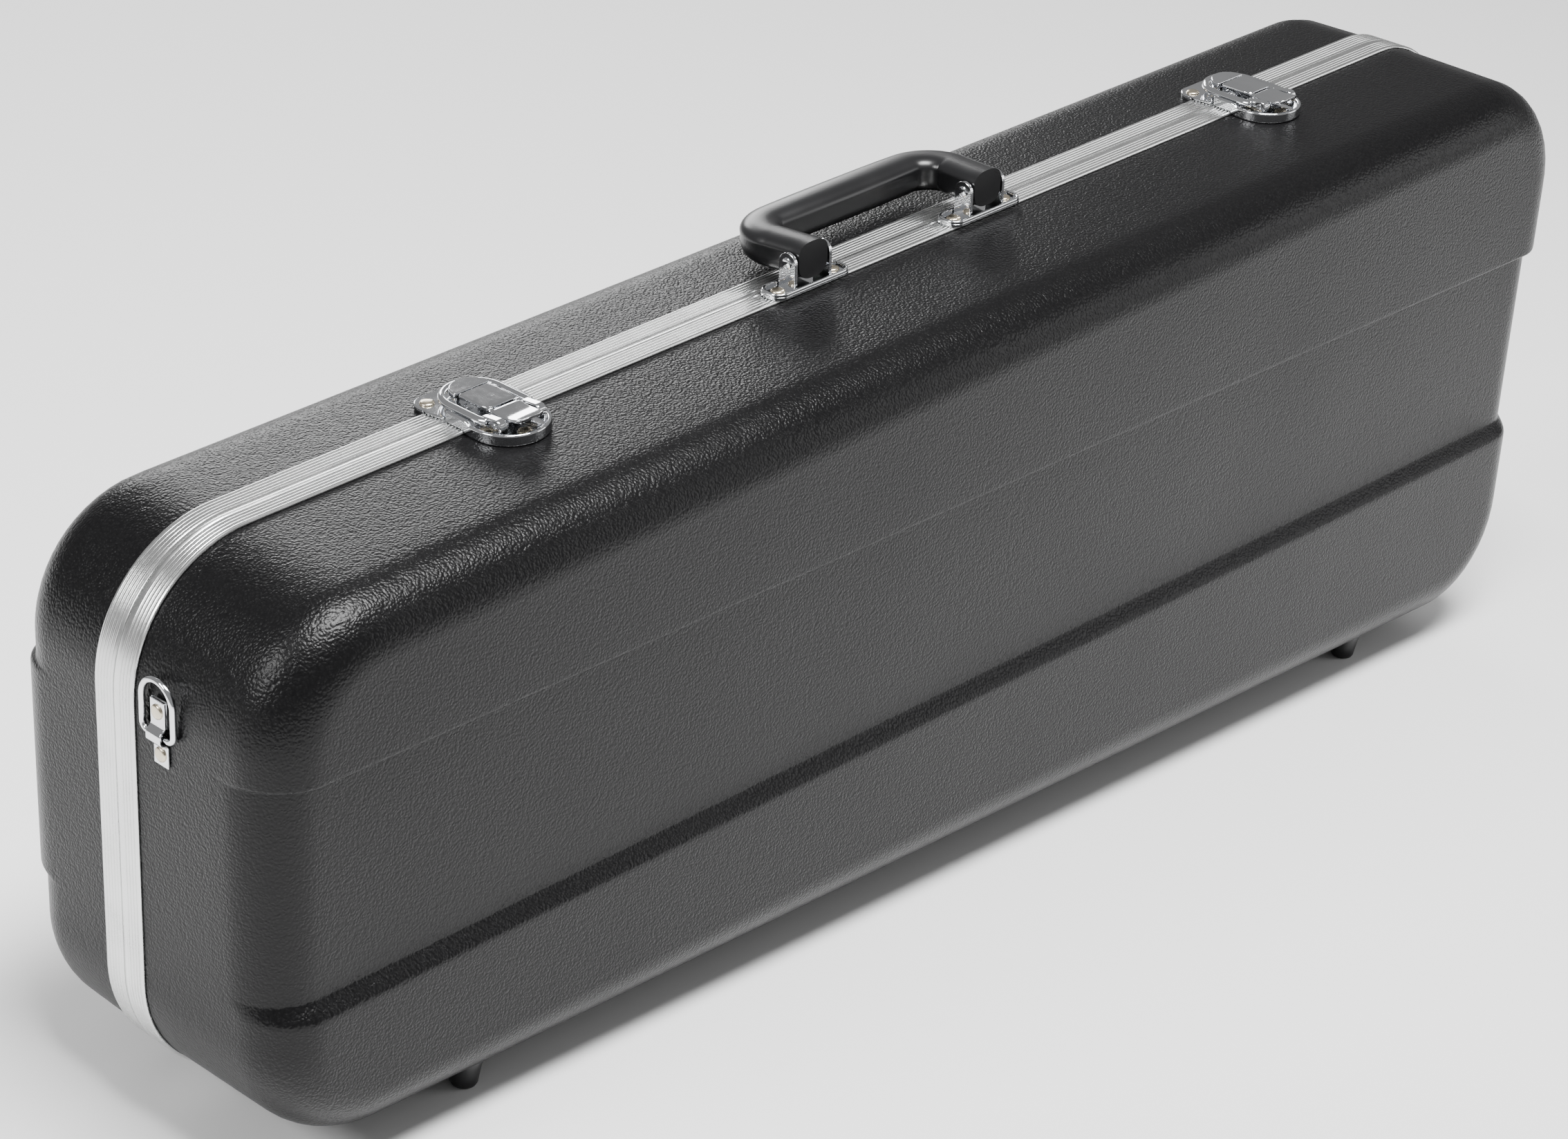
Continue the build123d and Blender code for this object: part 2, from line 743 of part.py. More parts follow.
# ---- base lining --------------------------------------------------------------------------------
bed_block = half_form(front_plane, sunk_depth - wall - liner_gap, wall + liner_gap)
body_end = well_middle + body_length / 2
neck_start = well_middle - body_length / 2
with BuildSketch() as violin:
    with Locations((body_end - lower_bout / 2, 0)):
        Circle(lower_bout / 2)
    with Locations((neck_start + upper_bout / 2, 0)):
        Circle(upper_bout / 2)
    with Locations((well_middle, 0)):
        Rectangle(body_length / 2, waist)
    with Locations(((neck_start + neck_end) / 2, 0)):
        Rectangle(neck_start - neck_end + upper_bout / 4, neck_width)
    with Locations((neck_end + scroll_width / 2, 0)):
        RectangleRounded(scroll_width * 1.5, scroll_width, scroll_width / 4)
pocket_middle = (
    pocket_start + pocket_length / 2,
    pocket_side + pocket_width / 2,
)
block_floor = base_liner_drop + well_depth
with BuildPart() as base_liner:
    add(bed_block)
    with BuildSketch(front_plane):
        add(case_outline(-wall))
    extrude(amount=block_floor, mode=Mode.SUBTRACT)
save(base_liner.part, "base_liner")

with BuildPart() as bed_walls:
    add(bed_block)
    with BuildSketch(front_plane):
        add(case_outline(-wall))
    extrude(amount=base_liner_drop, mode=Mode.SUBTRACT)
    with BuildSketch(front_plane.offset(block_floor)):
        add(case_outline(-wall))
    extrude(amount=base_depth, mode=Mode.SUBTRACT)
    with BuildSketch(front_plane.offset(base_liner_drop)):
        add(violin.sketch)
    extrude(amount=well_depth, mode=Mode.SUBTRACT)
    with BuildSketch(front_plane.offset(base_liner_drop)):
        with Locations(pocket_middle):
            RectangleRounded(pocket_length, pocket_width, 6)
    extrude(amount=pocket_depth, mode=Mode.SUBTRACT)

for side, word in ((-1, "left"), (1, "right")):
    for level, level_word in ((1, "upper"), (-1, "lower")):
        with BuildPart() as bed_side:
            add(bed_walls.part)
            with BuildSketch(front_plane):
                with Locations((bed_split + side * case_length / 2, level * case_length / 2)):
                    Rectangle(case_length, case_length)
            extrude(amount=base_depth, mode=Mode.INTERSECT)
        save(bed_side.part, f"bed_{level_word}_{word}")

with BuildPart() as neck_block:
    with BuildSketch(front_plane.offset(block_floor - well_depth * 0.55)):
        with Locations((neck_start - 25, 0)):
            Rectangle(30, neck_width - 1)
    extrude(amount=well_depth * 0.55 - 0.1)
    saddle = Plane(
        front_plane.origin + along * (neck_start - 45) - front_plane.z_dir * -20.0,
        x_dir=front_plane.y_dir,
        z_dir=along,
    )
    with BuildSketch(saddle):
        Circle(neck_width * 0.38)
    extrude(amount=60, mode=Mode.SUBTRACT)
save(neck_block.part, "neck_block")

strap_half = neck_width / 2 + 14
strap_plane = Plane(
    front_plane.origin + along * (neck_start - 25 - strap_width / 2),
    x_dir=up,
    z_dir=along,
)
strap_floor = base_liner_drop
strap_rise = base_liner_drop - 4.0
with BuildPart() as neck_strap:
    with BuildSketch(strap_plane) as strap_line:
        with BuildLine():
            Polyline(
                (-strap_half, strap_floor),
                (-strap_half, strap_floor - strap_sheet),
                (-strap_half + 12, strap_floor - strap_sheet),
                (-strap_half + 22, strap_rise - strap_sheet),
                (strap_half - 22, strap_rise - strap_sheet),
                (strap_half - 12, strap_floor - strap_sheet),
                (strap_half, strap_floor - strap_sheet),
                (strap_half, strap_floor),
                (strap_half - 12, strap_floor),
                (strap_half - 22, strap_rise),
                (-strap_half + 22, strap_rise),
                (-strap_half + 12, strap_floor),
                close=True,
            )
        make_face()
    extrude(amount=strap_width)
save(neck_strap.part, "neck_strap")
with BuildPart() as strap_stud:
    with BuildSketch(front_plane.offset(strap_floor - strap_sheet - 2.5)):
        with Locations((neck_start - 25, strap_half - 6)):
            Circle(5)
    extrude(amount=2.5)
save(strap_stud.part, "strap_stud")

# ---- accessory pocket ---------------------------------------------------------------------------
cover_start = base_liner_drop - liner_gap - pocket_lid_sheet
pocket_far = pocket_side + pocket_width + 3
pin_depth = base_liner_drop - liner_gap - pocket_lid_sheet / 2
pocket_axis_v = pocket_far + 3
cover_length = pocket_length + 8
pin_plane = Plane(
    front_plane.origin
    + along * (pocket_middle[0] - cover_length / 2 - 6)
    + up * pocket_axis_v
    + front_plane.z_dir * pin_depth,
    x_dir=up,
    z_dir=along,
)
with BuildPart() as pocket_lid:
    with BuildSketch(front_plane.offset(cover_start)):
        with Locations((pocket_middle[0], (pocket_side - 4 + pocket_axis_v) / 2)):
            Rectangle(cover_length, pocket_axis_v - pocket_side + 4)
    extrude(amount=pocket_lid_sheet)
    with BuildSketch(pin_plane.offset(6)):
        Circle(pocket_lid_sheet / 2)
    extrude(amount=cover_length)
    with BuildSketch(pin_plane):
        Circle(pocket_pin_radius + running_clearance)
    extrude(amount=cover_length + 12, mode=Mode.SUBTRACT)
save(pocket_lid.part, "pocket_lid")
with BuildPart() as pocket_hinge:
    with BuildSketch(pin_plane.offset(1)):
        Circle(pocket_pin_radius)
    extrude(amount=cover_length + 10)
    for start in (1.0, cover_length + 7.0):
        with BuildSketch(pin_plane.offset(start)):
            Circle(2.2)
        extrude(amount=4)
        with BuildSketch(front_plane.offset(pin_depth)):
            with Locations(
                (pocket_middle[0] - cover_length / 2 - 6 + start + 2, pocket_axis_v)
            ):
                Rectangle(4, 4.4)
        extrude(amount=base_liner_drop - pin_depth)
save(pocket_hinge.part, "pocket_hinge")
with BuildPart() as pocket_tab:
    with BuildSketch(front_plane.offset(cover_start - 1.2)):
        with Locations((pocket_middle[0], pocket_side)):
            Rectangle(18, 16)
    extrude(amount=1.2)
save(pocket_tab.part, "pocket_tab")

# ---- lid lining ---------------------------------------------------------------------------------
panel_depth = lid_depth - wall - liner_gap
panel_block = half_form(back_plane, panel_depth, wall + liner_gap)
panel_face = panel_depth - lid_liner_thickness
with BuildPart() as lid_liner:
    add(panel_block)
    with BuildSketch(back_plane):
        add(case_outline(-wall))
    extrude(amount=panel_face, mode=Mode.SUBTRACT)
save(lid_liner.part, "lid_liner")

# Bow clips: local Y on back_plane points down the case, so the upper bow has a negative one.
spinner_base = panel_face - 4.0
spinner_sheet = 3.0
for word, flip in (("upper", -1), ("lower", 1)):
    spot = (bow_clip_along, flip * bow_spread)
    with BuildPart() as clip:
        with BuildSketch(back_plane.offset(spinner_base)):
            with Locations(spot):
                Circle(bow_clip_radius)
        extrude(amount=4.0)
        post_start = spinner_base - spinner_sheet - 2 * knuckle_gap
        with BuildSketch(back_plane.offset(post_start)):
            with Locations(spot):
                Circle(2.5)
        extrude(amount=spinner_base - post_start)
        with BuildSketch(back_plane.offset(post_start - 1.5)):
            with Locations(spot):
                Circle(4)
        extrude(amount=1.5)
    save(clip.part, f"bow_clip_{word}")
    with BuildPart() as spinner:
        with BuildSketch(back_plane.offset(spinner_base - spinner_sheet - knuckle_gap)):
            with Locations(spot):
                RectangleRounded(10, bow_spinner_length, 4.9)
                Circle(2.5 + running_clearance, mode=Mode.SUBTRACT)
        extrude(amount=spinner_sheet)
    save(spinner.part, f"bow_spinner_{word}")
    with BuildPart() as sleeve:
        with BuildSketch(back_plane.offset(panel_face - 9.0)):
            with Locations((bow_sleeve_along, flip * bow_spread)):
                RectangleRounded(60, 24, 4)
        extrude(amount=9.0)
    save(sleeve.part, f"bow_sleeve_{word}")
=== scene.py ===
import json
import math

import bmesh
import bpy
import numpy as np
from mathutils import Matrix, Vector


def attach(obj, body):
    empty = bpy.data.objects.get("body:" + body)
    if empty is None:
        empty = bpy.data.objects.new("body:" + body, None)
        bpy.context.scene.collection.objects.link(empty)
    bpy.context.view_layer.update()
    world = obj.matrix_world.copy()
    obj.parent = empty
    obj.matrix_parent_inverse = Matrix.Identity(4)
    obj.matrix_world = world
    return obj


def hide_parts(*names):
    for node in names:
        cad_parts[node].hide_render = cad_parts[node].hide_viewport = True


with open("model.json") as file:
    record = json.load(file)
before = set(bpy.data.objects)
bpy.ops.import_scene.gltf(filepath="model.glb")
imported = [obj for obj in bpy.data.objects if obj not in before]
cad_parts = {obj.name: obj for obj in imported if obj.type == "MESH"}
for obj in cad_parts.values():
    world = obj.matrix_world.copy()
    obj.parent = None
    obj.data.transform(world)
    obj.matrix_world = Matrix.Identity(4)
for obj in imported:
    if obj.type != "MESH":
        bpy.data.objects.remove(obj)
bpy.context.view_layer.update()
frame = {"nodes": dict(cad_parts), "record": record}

# ---- sizes, in metres -----------------------------------------------------------------------
LENGTH, LEFT_H, RIGHT_H = 0.791, 0.223, 0.283
BASE_D, LID_D = 0.086, 0.065
BAND_IN, BAND_OUT = 0.005, 0.004
BAND_TOP, BAND_LOW = 0.0486, -0.0410
CORNER_R, EDGE_R = 0.054, 0.024
MOUTH = 0.0016
STEADY_V = 0.060
DRAFT = math.radians(1.0)
WALL = 0.003
RIM_SHEET = 0.0012
FOOT = 0.012
TAPER = math.atan((RIGHT_H - LEFT_H) / 2 / LENGTH)
RING_BAR = 0.054
SHIFT = RING_BAR * math.sin(TAPER)
PART_Y = (BASE_D - LID_D - BAND_OUT) / 2
MID_Z = FOOT + LENGTH / 2 * math.sin(TAPER) + LEFT_H / 2 * math.cos(TAPER)
MEAN_H = (LEFT_H + RIGHT_H) / 2
LATCH_S, LATCH_SHIFT = 0.2323, 0.0065
BRACKET_S, BRACKET_Y = 0.0535, -0.0066
KEEPER_Y, END_DEPTH = 0.026, 0.022
ALONG = np.array([math.cos(TAPER), 0, math.sin(TAPER)])
UP = np.array([-math.sin(TAPER), 0, math.cos(TAPER)])
MIDDLE = np.array([SHIFT, PART_Y, MID_Z])
EDGE = np.array([math.cos(2 * TAPER), 0, math.sin(2 * TAPER)])
OUT = np.array([-math.sin(2 * TAPER), 0, math.cos(2 * TAPER)])
TOP = MIDDLE + UP * MEAN_H / 2 + OUT * RIM_SHEET
BACKWARD = np.array([0.0, 1.0, 0.0])
SIDES = ((-1, "left"), (1, "right"))


def frame_top(s):
    """Axes on the top rim at s: along the rim, to the lid, out of the case."""
    return TOP + EDGE * s, EDGE, BACKWARD, OUT


def frame_end(side):
    """Axes on a case end at its middle line: to the front or back, up, out of the case."""
    sunk = END_DEPTH * math.tan(DRAFT)
    return MIDDLE + ALONG * side * (LENGTH / 2 - sunk), BACKWARD * side, UP, ALONG * side


def place(axes, points):
    """Local points, in metres on the given axes, as world points."""
    origin, ax, ay, az = axes
    p = np.asarray(points, float)
    return origin + p[:, :1] * ax + p[:, 1:2] * ay + p[:, 2:3] * az


# ---- mesh helpers ---------------------------------------------------------------------------
def smooth_mesh(obj, angle):
    """Smooth faces, with edges sharp from the given angle on."""
    for poly in obj.data.polygons:
        poly.use_smooth = True
    mesh = obj.data
    bm = bmesh.new()
    bm.from_mesh(mesh)
    limit = math.radians(angle)
    for e in bm.edges:
        e.smooth = len(e.link_faces) == 2 and e.calc_face_angle(0) < limit
    bm.to_mesh(mesh)
    bm.free()


def make(name, verts, faces, mat, body, slot, replaced=(), angle=35.0, bevel=0.0, segs=3):
    """A mesh piece with its material, body and the nodes that it stands for; slot is not used."""
    mesh = bpy.data.meshes.new(name)
    mesh.from_pydata([tuple(v) for v in verts], [], faces)
    mesh.validate()
    bm = bmesh.new()
    bm.from_mesh(mesh)
    bmesh.ops.remove_doubles(bm, verts=bm.verts, dist=1e-6)
    bmesh.ops.recalc_face_normals(bm, faces=bm.faces)
    bm.to_mesh(mesh)
    bm.free()
    obj = bpy.data.objects.new(name, mesh)
    bpy.context.scene.collection.objects.link(obj)
    mesh.materials.append(mat)
    if bevel:
        mod = obj.modifiers.new("bevel", "BEVEL")
        mod.width = bevel
        mod.segments = segs
        mod.limit_method = "ANGLE"
        mod.angle_limit = math.radians(28)
        mod.harden_normals = False
        mod = obj.modifiers.new("normals", "WEIGHTED_NORMAL")
        mod.keep_sharp = True
        smooth_mesh(obj, 80)
    else:
        smooth_mesh(obj, angle)
    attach(obj, body)
    if replaced:
        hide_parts(*replaced)
    return obj


class Build:
    """Collects several closed shells into one mesh."""

    def __init__(self):
        self.verts, self.faces = [], []

    def add(self, verts, faces):
        start = len(self.verts)
        self.verts.extend(np.asarray(verts).tolist())
        self.faces.extend([tuple(i + start for i in f) for f in faces])
        return self

    def prism(self, axes, outline, low, high):
        """A straight prism on an outline of local (x, y), from height low to high."""
        n = len(outline)
        pts = [(x, y, low) for x, y in outline] + [(x, y, high) for x, y in outline]
        faces = [tuple(range(n))[::-1], tuple(range(n, 2 * n))]
        faces += [(i, (i + 1) % n, n + (i + 1) % n, n + i) for i in range(n)]
        return self.add(place(axes, pts), faces)

    def tube(self, path, section, closed=False, normal=(0, 0, 1), scales=None):
        """Sweeps a closed section along a path; normal fixes the section's second axis."""
        path = np.asarray(path, float)
        n, m = len(path), len(section)
        if closed:
            tangents = np.roll(path, -1, 0) - np.roll(path, 1, 0)
        else:
            tangents = np.gradient(path, axis=0)
        tangents /= np.linalg.norm(tangents, axis=1)[:, None]
        normal = np.asarray(normal, float)
        verts = []
        for i in range(n):
            b = normal - tangents[i] * (normal @ tangents[i])
            b /= np.linalg.norm(b)
            a = np.cross(tangents[i], b)
            sa, sb = (1, 1) if scales is None else scales[i]
            verts += [path[i] + a * x * sa + b * y * sb for x, y in section]
        faces = []
        for i in range(n if closed else n - 1):
            j = (i + 1) % n
            faces += [
                (i * m + k, i * m + (k + 1) % m, j * m + (k + 1) % m, j * m + k)
                for k in range(m)
            ]
        if not closed:
            faces += [tuple(range(m))[::-1], tuple((n - 1) * m + k for k in range(m))]
        return self.add(verts, faces)

    def lathe(self, axes, centre, profile, steps=40):
        """Turns a profile of (radius, height) about the local Z through centre."""
        m = len(profile)
        pts, faces = [], []
        for i in range(steps):
            a = 2 * math.pi * i / steps
            for r, h in profile:
                pts.append((centre[0] + r * math.cos(a), centre[1] + r * math.sin(a), h))
        for i in range(steps):
            j = (i + 1) % steps
            faces += [
                (i * m + k, i * m + k + 1, j * m + k + 1, j * m + k) for k in range(m - 1)
            ]
        faces.append(tuple(i * m for i in range(steps))[::-1])
        faces.append(tuple(i * m + m - 1 for i in range(steps)))
        return self.add(place(axes, pts), faces)

    def piece(self, name, mat, body, slot, replaced=(), **more):
        return make(name, self.verts, self.faces, mat, body, slot, replaced, **more)


def circle(radius, steps=20):
    return [
        (radius * math.cos(a), radius * math.sin(a))
        for a in np.linspace(0, 2 * math.pi, steps, endpoint=False)
    ]


def arc(cx, cy, r, a0, a1, steps=8):
    """Points of an arc, from a0 to a1 degrees."""
    return [
        (cx + r * math.cos(math.radians(a)), cy + r * math.sin(math.radians(a)))
        for a in np.linspace(a0, a1, steps)
    ]


def rounded(w, h, r, steps):
    """A rectangle with round corners, about the origin."""
    x, y = w / 2 - r, h / 2 - r
    return (
        arc(x, y, r, 0, 90, steps)
        + arc(-x, y, r, 90, 180, steps)
        + arc(-x, -y, r, 180, 270, steps)
        + arc(x, -y, r, 270, 360, steps)
    )


def grid_faces(n_rows, n_cols):
    """Quads of a grid whose points run row by row."""
    return [
        (r * n_cols + c, r * n_cols + c + 1, (r + 1) * n_cols + c + 1, (r + 1) * n_cols + c)
        for r in range(n_rows - 1)
        for c in range(n_cols - 1)
    ]


def grid_border(n_rows, n_cols):
    """Indices round the edge of such a grid, starting along its first row."""
    loop = list(range(n_cols)) + [r * n_cols + n_cols - 1 for r in range(1, n_rows)]
    loop += [(n_rows - 1) * n_cols + c for c in range(n_cols - 2, -1, -1)]
    return loop + [r * n_cols for r in range(n_rows - 2, 0, -1)]


def two_sided(quads, offset):
    """The quads of a grid and, reversed, the same quads offset points further on."""
    faces = []
    for quad in quads:
        faces += [quad, tuple(offset + i for i in quad[::-1])]
    return faces


def ribbon(first, second):
    """Quads between two closed rings of indices."""
    count = len(first)
    return [
        (first[k], first[(k + 1) % count], second[(k + 1) % count], second[k])
        for k in range(count)
    ]


# ---- materials ------------------------------------------------------------------------------
def material(name, color, rough, metal=0.0, sheen=0.0, spec=0.5):
    """A new principled material with its parts, and object coordinates for its textures."""
    mat = bpy.data.materials.new(name)
    mat.use_nodes = True
    nodes, links = mat.node_tree.nodes, mat.node_tree.links
    shader = nodes["Principled BSDF"]
    shader.inputs["Base Color"].default_value = (*color, 1)
    shader.inputs["Roughness"].default_value = rough
    shader.inputs["Metallic"].default_value = metal
    shader.inputs["Sheen Weight"].default_value = sheen
    shader.inputs["Specular IOR Level"].default_value = spec
    coords = nodes.new("ShaderNodeTexCoord")
    return mat, nodes, links, shader, coords


def noise(nodes, links, coords, scale, detail, stretch=None):
    tex = nodes.new("ShaderNodeTexNoise")
    tex.inputs["Scale"].default_value = scale
    tex.inputs["Detail"].default_value = detail
    if stretch:
        mapping = nodes.new("ShaderNodeMapping")
        mapping.inputs["Scale"].default_value = stretch
        links.new(coords.outputs["Object"], mapping.inputs["Vector"])
        links.new(mapping.outputs["Vector"], tex.inputs["Vector"])
    else:
        links.new(coords.outputs["Object"], tex.inputs["Vector"])
    return tex


def ramp(nodes, links, source, low, high, start=0.3, end=0.7):
    """Maps the source from start..end to low..high."""
    node = nodes.new("ShaderNodeMapRange")
    node.inputs["From Min"].default_value = start
    node.inputs["From Max"].default_value = end
    node.inputs["To Min"].default_value = low
    node.inputs["To Max"].default_value = high
    links.new(source, node.inputs["Value"])
    return node.outputs["Result"]


def tint(nodes, links, factor, first, second):
    mix = nodes.new("ShaderNodeMix")
    mix.data_type = "RGBA"
    mix.inputs["A"].default_value = (*first, 1)
    mix.inputs["B"].default_value = (*second, 1)
    links.new(factor, mix.inputs["Factor"])
    return mix.outputs["Result"]


def bump(nodes, links, height, strength, distance, after=None):
    node = nodes.new("ShaderNodeBump")
    node.inputs["Strength"].default_value = strength
    node.inputs["Distance"].default_value = distance
    links.new(height, node.inputs["Height"])
    if after:
        links.new(after.outputs["Normal"], node.inputs["Normal"])
    return node


def shell_material():
    """Vacuum-formed ABS with a leather grain of about a millimetre."""
    mat, nodes, links, shader, coords = material(
        "grained_abs", (0.0035, 0.0035, 0.0038), 0.36, spec=0.20
    )
    warp = noise(nodes, links, coords, 260.0, 2.0)
    mix = nodes.new("ShaderNodeMix")
    mix.data_type = "VECTOR"
    mix.inputs["Factor"].default_value = 0.0022
    links.new(coords.outputs["Object"], mix.inputs["A"])
    links.new(warp.outputs["Color"], mix.inputs["B"])
    cells = nodes.new("ShaderNodeTexVoronoi")
    cells.feature = "SMOOTH_F1"
    cells.inputs["Scale"].default_value = 900.0
    cells.inputs["Smoothness"].default_value = 0.55
    links.new(mix.outputs["Result"], cells.inputs["Vector"])
    fine = noise(nodes, links, coords, 1500.0, 2.0)
    grain = bump(nodes, links, cells.outputs["Distance"], 0.6, 0.00036)
    grain.invert = True
    detail = bump(nodes, links, fine.outputs["Fac"], 0.25, 0.00012, grain)
    links.new(detail.outputs["Normal"], shader.inputs["Normal"])
    broad = noise(nodes, links, coords, 9.0, 3.0)
    links.new(ramp(nodes, links, broad.outputs["Fac"], 0.29, 0.36), shader.inputs["Roughness"])
    # painted shade: the base colour is darker in the grooves between the grain's pebbles and lighter on
    # their tops, following the same cells as the bump
    color = tint(
        nodes,
        links,
        ramp(nodes, links, cells.outputs["Distance"], 0, 1, 0.1, 0.75),
        (0.0042, 0.0041, 0.0044),
        (0.0024, 0.0023, 0.0026),
    )
    links.new(color, shader.inputs["Base Color"])
    return mat


def metal_material(name, color, rough, scratch, stretch=None, spots=0.0):
    """Metal with fine marks, uneven wear and, where spots is set, darker patches."""
    mat, nodes, links, shader, coords = material(name, color, rough, metal=1.0)
    marks = noise(nodes, links, coords, 420.0, 5.0, stretch)
    broad = noise(nodes, links, coords, 60.0, 3.0)
    wear = nodes.new("ShaderNodeMath")
    wear.operation = "MULTIPLY"
    links.new(marks.outputs["Fac"], wear.inputs[0])
    links.new(broad.outputs["Fac"], wear.inputs[1])
    links.new(
        ramp(nodes, links, wear.outputs[0], max(rough - scratch, 0.02), rough + scratch, 0.1, 0.5),
        shader.inputs["Roughness"],
    )
    dark = tuple(c * (0.90 - spots) for c in color)
    links.new(
        tint(nodes, links, ramp(nodes, links, broad.outputs["Fac"], 0, 1, 0.35, 0.75), color, dark),
        shader.inputs["Base Color"],
    )
    bumps = bump(nodes, links, marks.outputs["Fac"], 0.08, 0.0001)
    links.new(bumps.outputs["Normal"], shader.inputs["Normal"])
    return mat


def plastic_material(name, color, rough):
    """Moulded plastic with a faint fine grain."""
    mat, nodes, links, shader, coords = material(name, color, rough)
    fine = noise(nodes, links, coords, 900.0, 3.0)
    broad = noise(nodes, links, coords, 25.0, 3.0)
    bumps = bump(nodes, links, fine.outputs["Fac"], 0.2, 0.0001)
    links.new(bumps.outputs["Normal"], shader.inputs["Normal"])
    links.new(
        ramp(nodes, links, broad.outputs["Fac"], rough - 0.05, rough + 0.07),
        shader.inputs["Roughness"],
    )
    light = tuple(c * 1.35 for c in color)
    links.new(
        tint(nodes, links, ramp(nodes, links, broad.outputs["Fac"], 0, 1), color, light),
        shader.inputs["Base Color"],
    )
    return mat


def plush_material(name, color, woven=False):
    """Short pile, or a weave where woven is set."""
    mat, nodes, links, shader, coords = material(name, color, 0.95, sheen=0.6, spec=0.15)
    shader.inputs["Sheen Roughness"].default_value = 0.4
    shader.inputs["Sheen Tint"].default_value = (*[min(c * 6, 1) for c in color], 1)
    if woven:
        fibres = nodes.new("ShaderNodeTexWave")
        fibres.inputs["Scale"].default_value = 700.0
        fibres.inputs["Distortion"].default_value = 1.5
        links.new(coords.outputs["Object"], fibres.inputs["Vector"])
    else:
        fibres = noise(nodes, links, coords, 1400.0, 6.0)
    patches = noise(nodes, links, coords, 45.0, 5.0)
    pile = bump(nodes, links, fibres.outputs["Fac"], 0.7, 0.0006)
    soft = bump(nodes, links, patches.outputs["Fac"], 0.25, 0.002, pile)
    links.new(soft.outputs["Normal"], shader.inputs["Normal"])
    light = tuple(c * 1.8 for c in color)
    links.new(
        tint(nodes, links, ramp(nodes, links, patches.outputs["Fac"], 0, 1), color, light),
        shader.inputs["Base Color"],
    )
    return mat


GRAIN = shell_material()
ALUMINIUM = metal_material("satin_aluminium", (0.74, 0.745, 0.74), 0.27, 0.06, (0.2, 1.0, 1.0))
CHROME = metal_material("polished_chrome", (0.80, 0.81, 0.83), 0.09, 0.05)
RIVET = metal_material("rivet_brass", (0.74, 0.66, 0.52), 0.27, 0.08, spots=0.15)
STEEL = metal_material("hinge_steel", (0.58, 0.58, 0.59), 0.30, 0.08)
GRIP = plastic_material("grip_plastic", (0.005, 0.005, 0.0055), 0.30)
FOOTING = plastic_material("foot_plastic", (0.007, 0.007, 0.0075), 0.40)
CLIP = plastic_material("clip_plastic", (0.010, 0.010, 0.011), 0.4)
PLUSH = plush_material("navy_plush", (0.012, 0.020, 0.065))
STRAP = plush_material("strap_weave", (0.010, 0.014, 0.040), woven=True)
SLOT_MATERIAL = {
    "shell_plastic": GRAIN,
    "rim_aluminium": ALUMINIUM,
    "bright_chrome": CHROME,
    "rivet_metal": RIVET,
    "hinge_steel": STEEL,
    "handle_plastic": GRIP,
    "foot_plastic": FOOTING,
    "plush_lining": PLUSH,
    "strap_fabric": STRAP,
    "snap_metal": STEEL,
    "clip_plastic": CLIP,
}
for row in frame["record"]["subparts"]:
    node = frame["nodes"][row["node"]]
    for slot_ in node.material_slots:
        slot_.material = SLOT_MATERIAL[row["material_slot"]]


# ---- the case's outline -----------------------------------------------------------------------
HALF = LENGTH / 2
CORNERS = np.array(
    [(-HALF, -LEFT_H / 2), (HALF, -RIGHT_H / 2), (HALF, RIGHT_H / 2), (-HALF, LEFT_H / 2)]
)


def edge_normal(i):
    """Outward normal of the edge from corner i to the next."""
    along = CORNERS[(i + 1) % 4] - CORNERS[i]
    along = along / np.linalg.norm(along)
    return np.array([along[1], -along[0]])


NORMALS = [edge_normal(i) for i in range(4)]


def arc_centre(i):
    """Centre of the arc that rounds corner i."""
    before, after = NORMALS[(i - 1) % 4], NORMALS[i % 4]
    return CORNERS[i % 4] - (before + after) * CORNER_R / (1 + before @ after)


def outline(steps=20, extra=30):
    """Points and outward normals round the outline, in (u, v), anticlockwise from low left."""
    pts, normals = [], []
    for i in range(4):
        before, after = NORMALS[i - 1], NORMALS[i]
        first = math.atan2(before[1], before[0])
        last = math.atan2(after[1], after[0])
        if last < first:
            last += 2 * math.pi
        for turn in np.linspace(first, last, steps):
            n = np.array([math.cos(turn), math.sin(turn)])
            pts.append(arc_centre(i) + n * CORNER_R)
            normals.append(n)
        start = pts[-1]
        end = arc_centre(i + 1) + after * CORNER_R
        for k in range(1, extra):
            pts.append(start + (end - start) * k / extra)
            normals.append(after)
    return np.array(pts), np.array(normals)


def inside(point, inset):
    """Signed distance of (u, v) points to the outline drawn in by inset; negative inside."""
    p = np.atleast_2d(point)
    planes = [(n, n @ corner - CORNER_R) for n, corner in zip(NORMALS, CORNERS)]
    values = np.array([p @ n - c for n, c in planes])
    best = values.max(0)
    for i in range(4):
        n0, c0 = planes[i]
        n1, c1 = planes[(i + 1) % 4]
        d = p - np.linalg.solve(np.array([n0, n1]), np.array([c0, c1]))
        t0 = np.array([-n0[1], n0[0]])
        t1 = np.array([-n1[1], n1[0]])
        zone = (d @ t0 > 0) & (d @ t1 < 0)
        beyond = (values[i] > 0) | (values[(i + 1) % 4] > 0)
        best = np.where(zone & beyond, np.linalg.norm(d, axis=1), best)
    return best - CORNER_R + inset


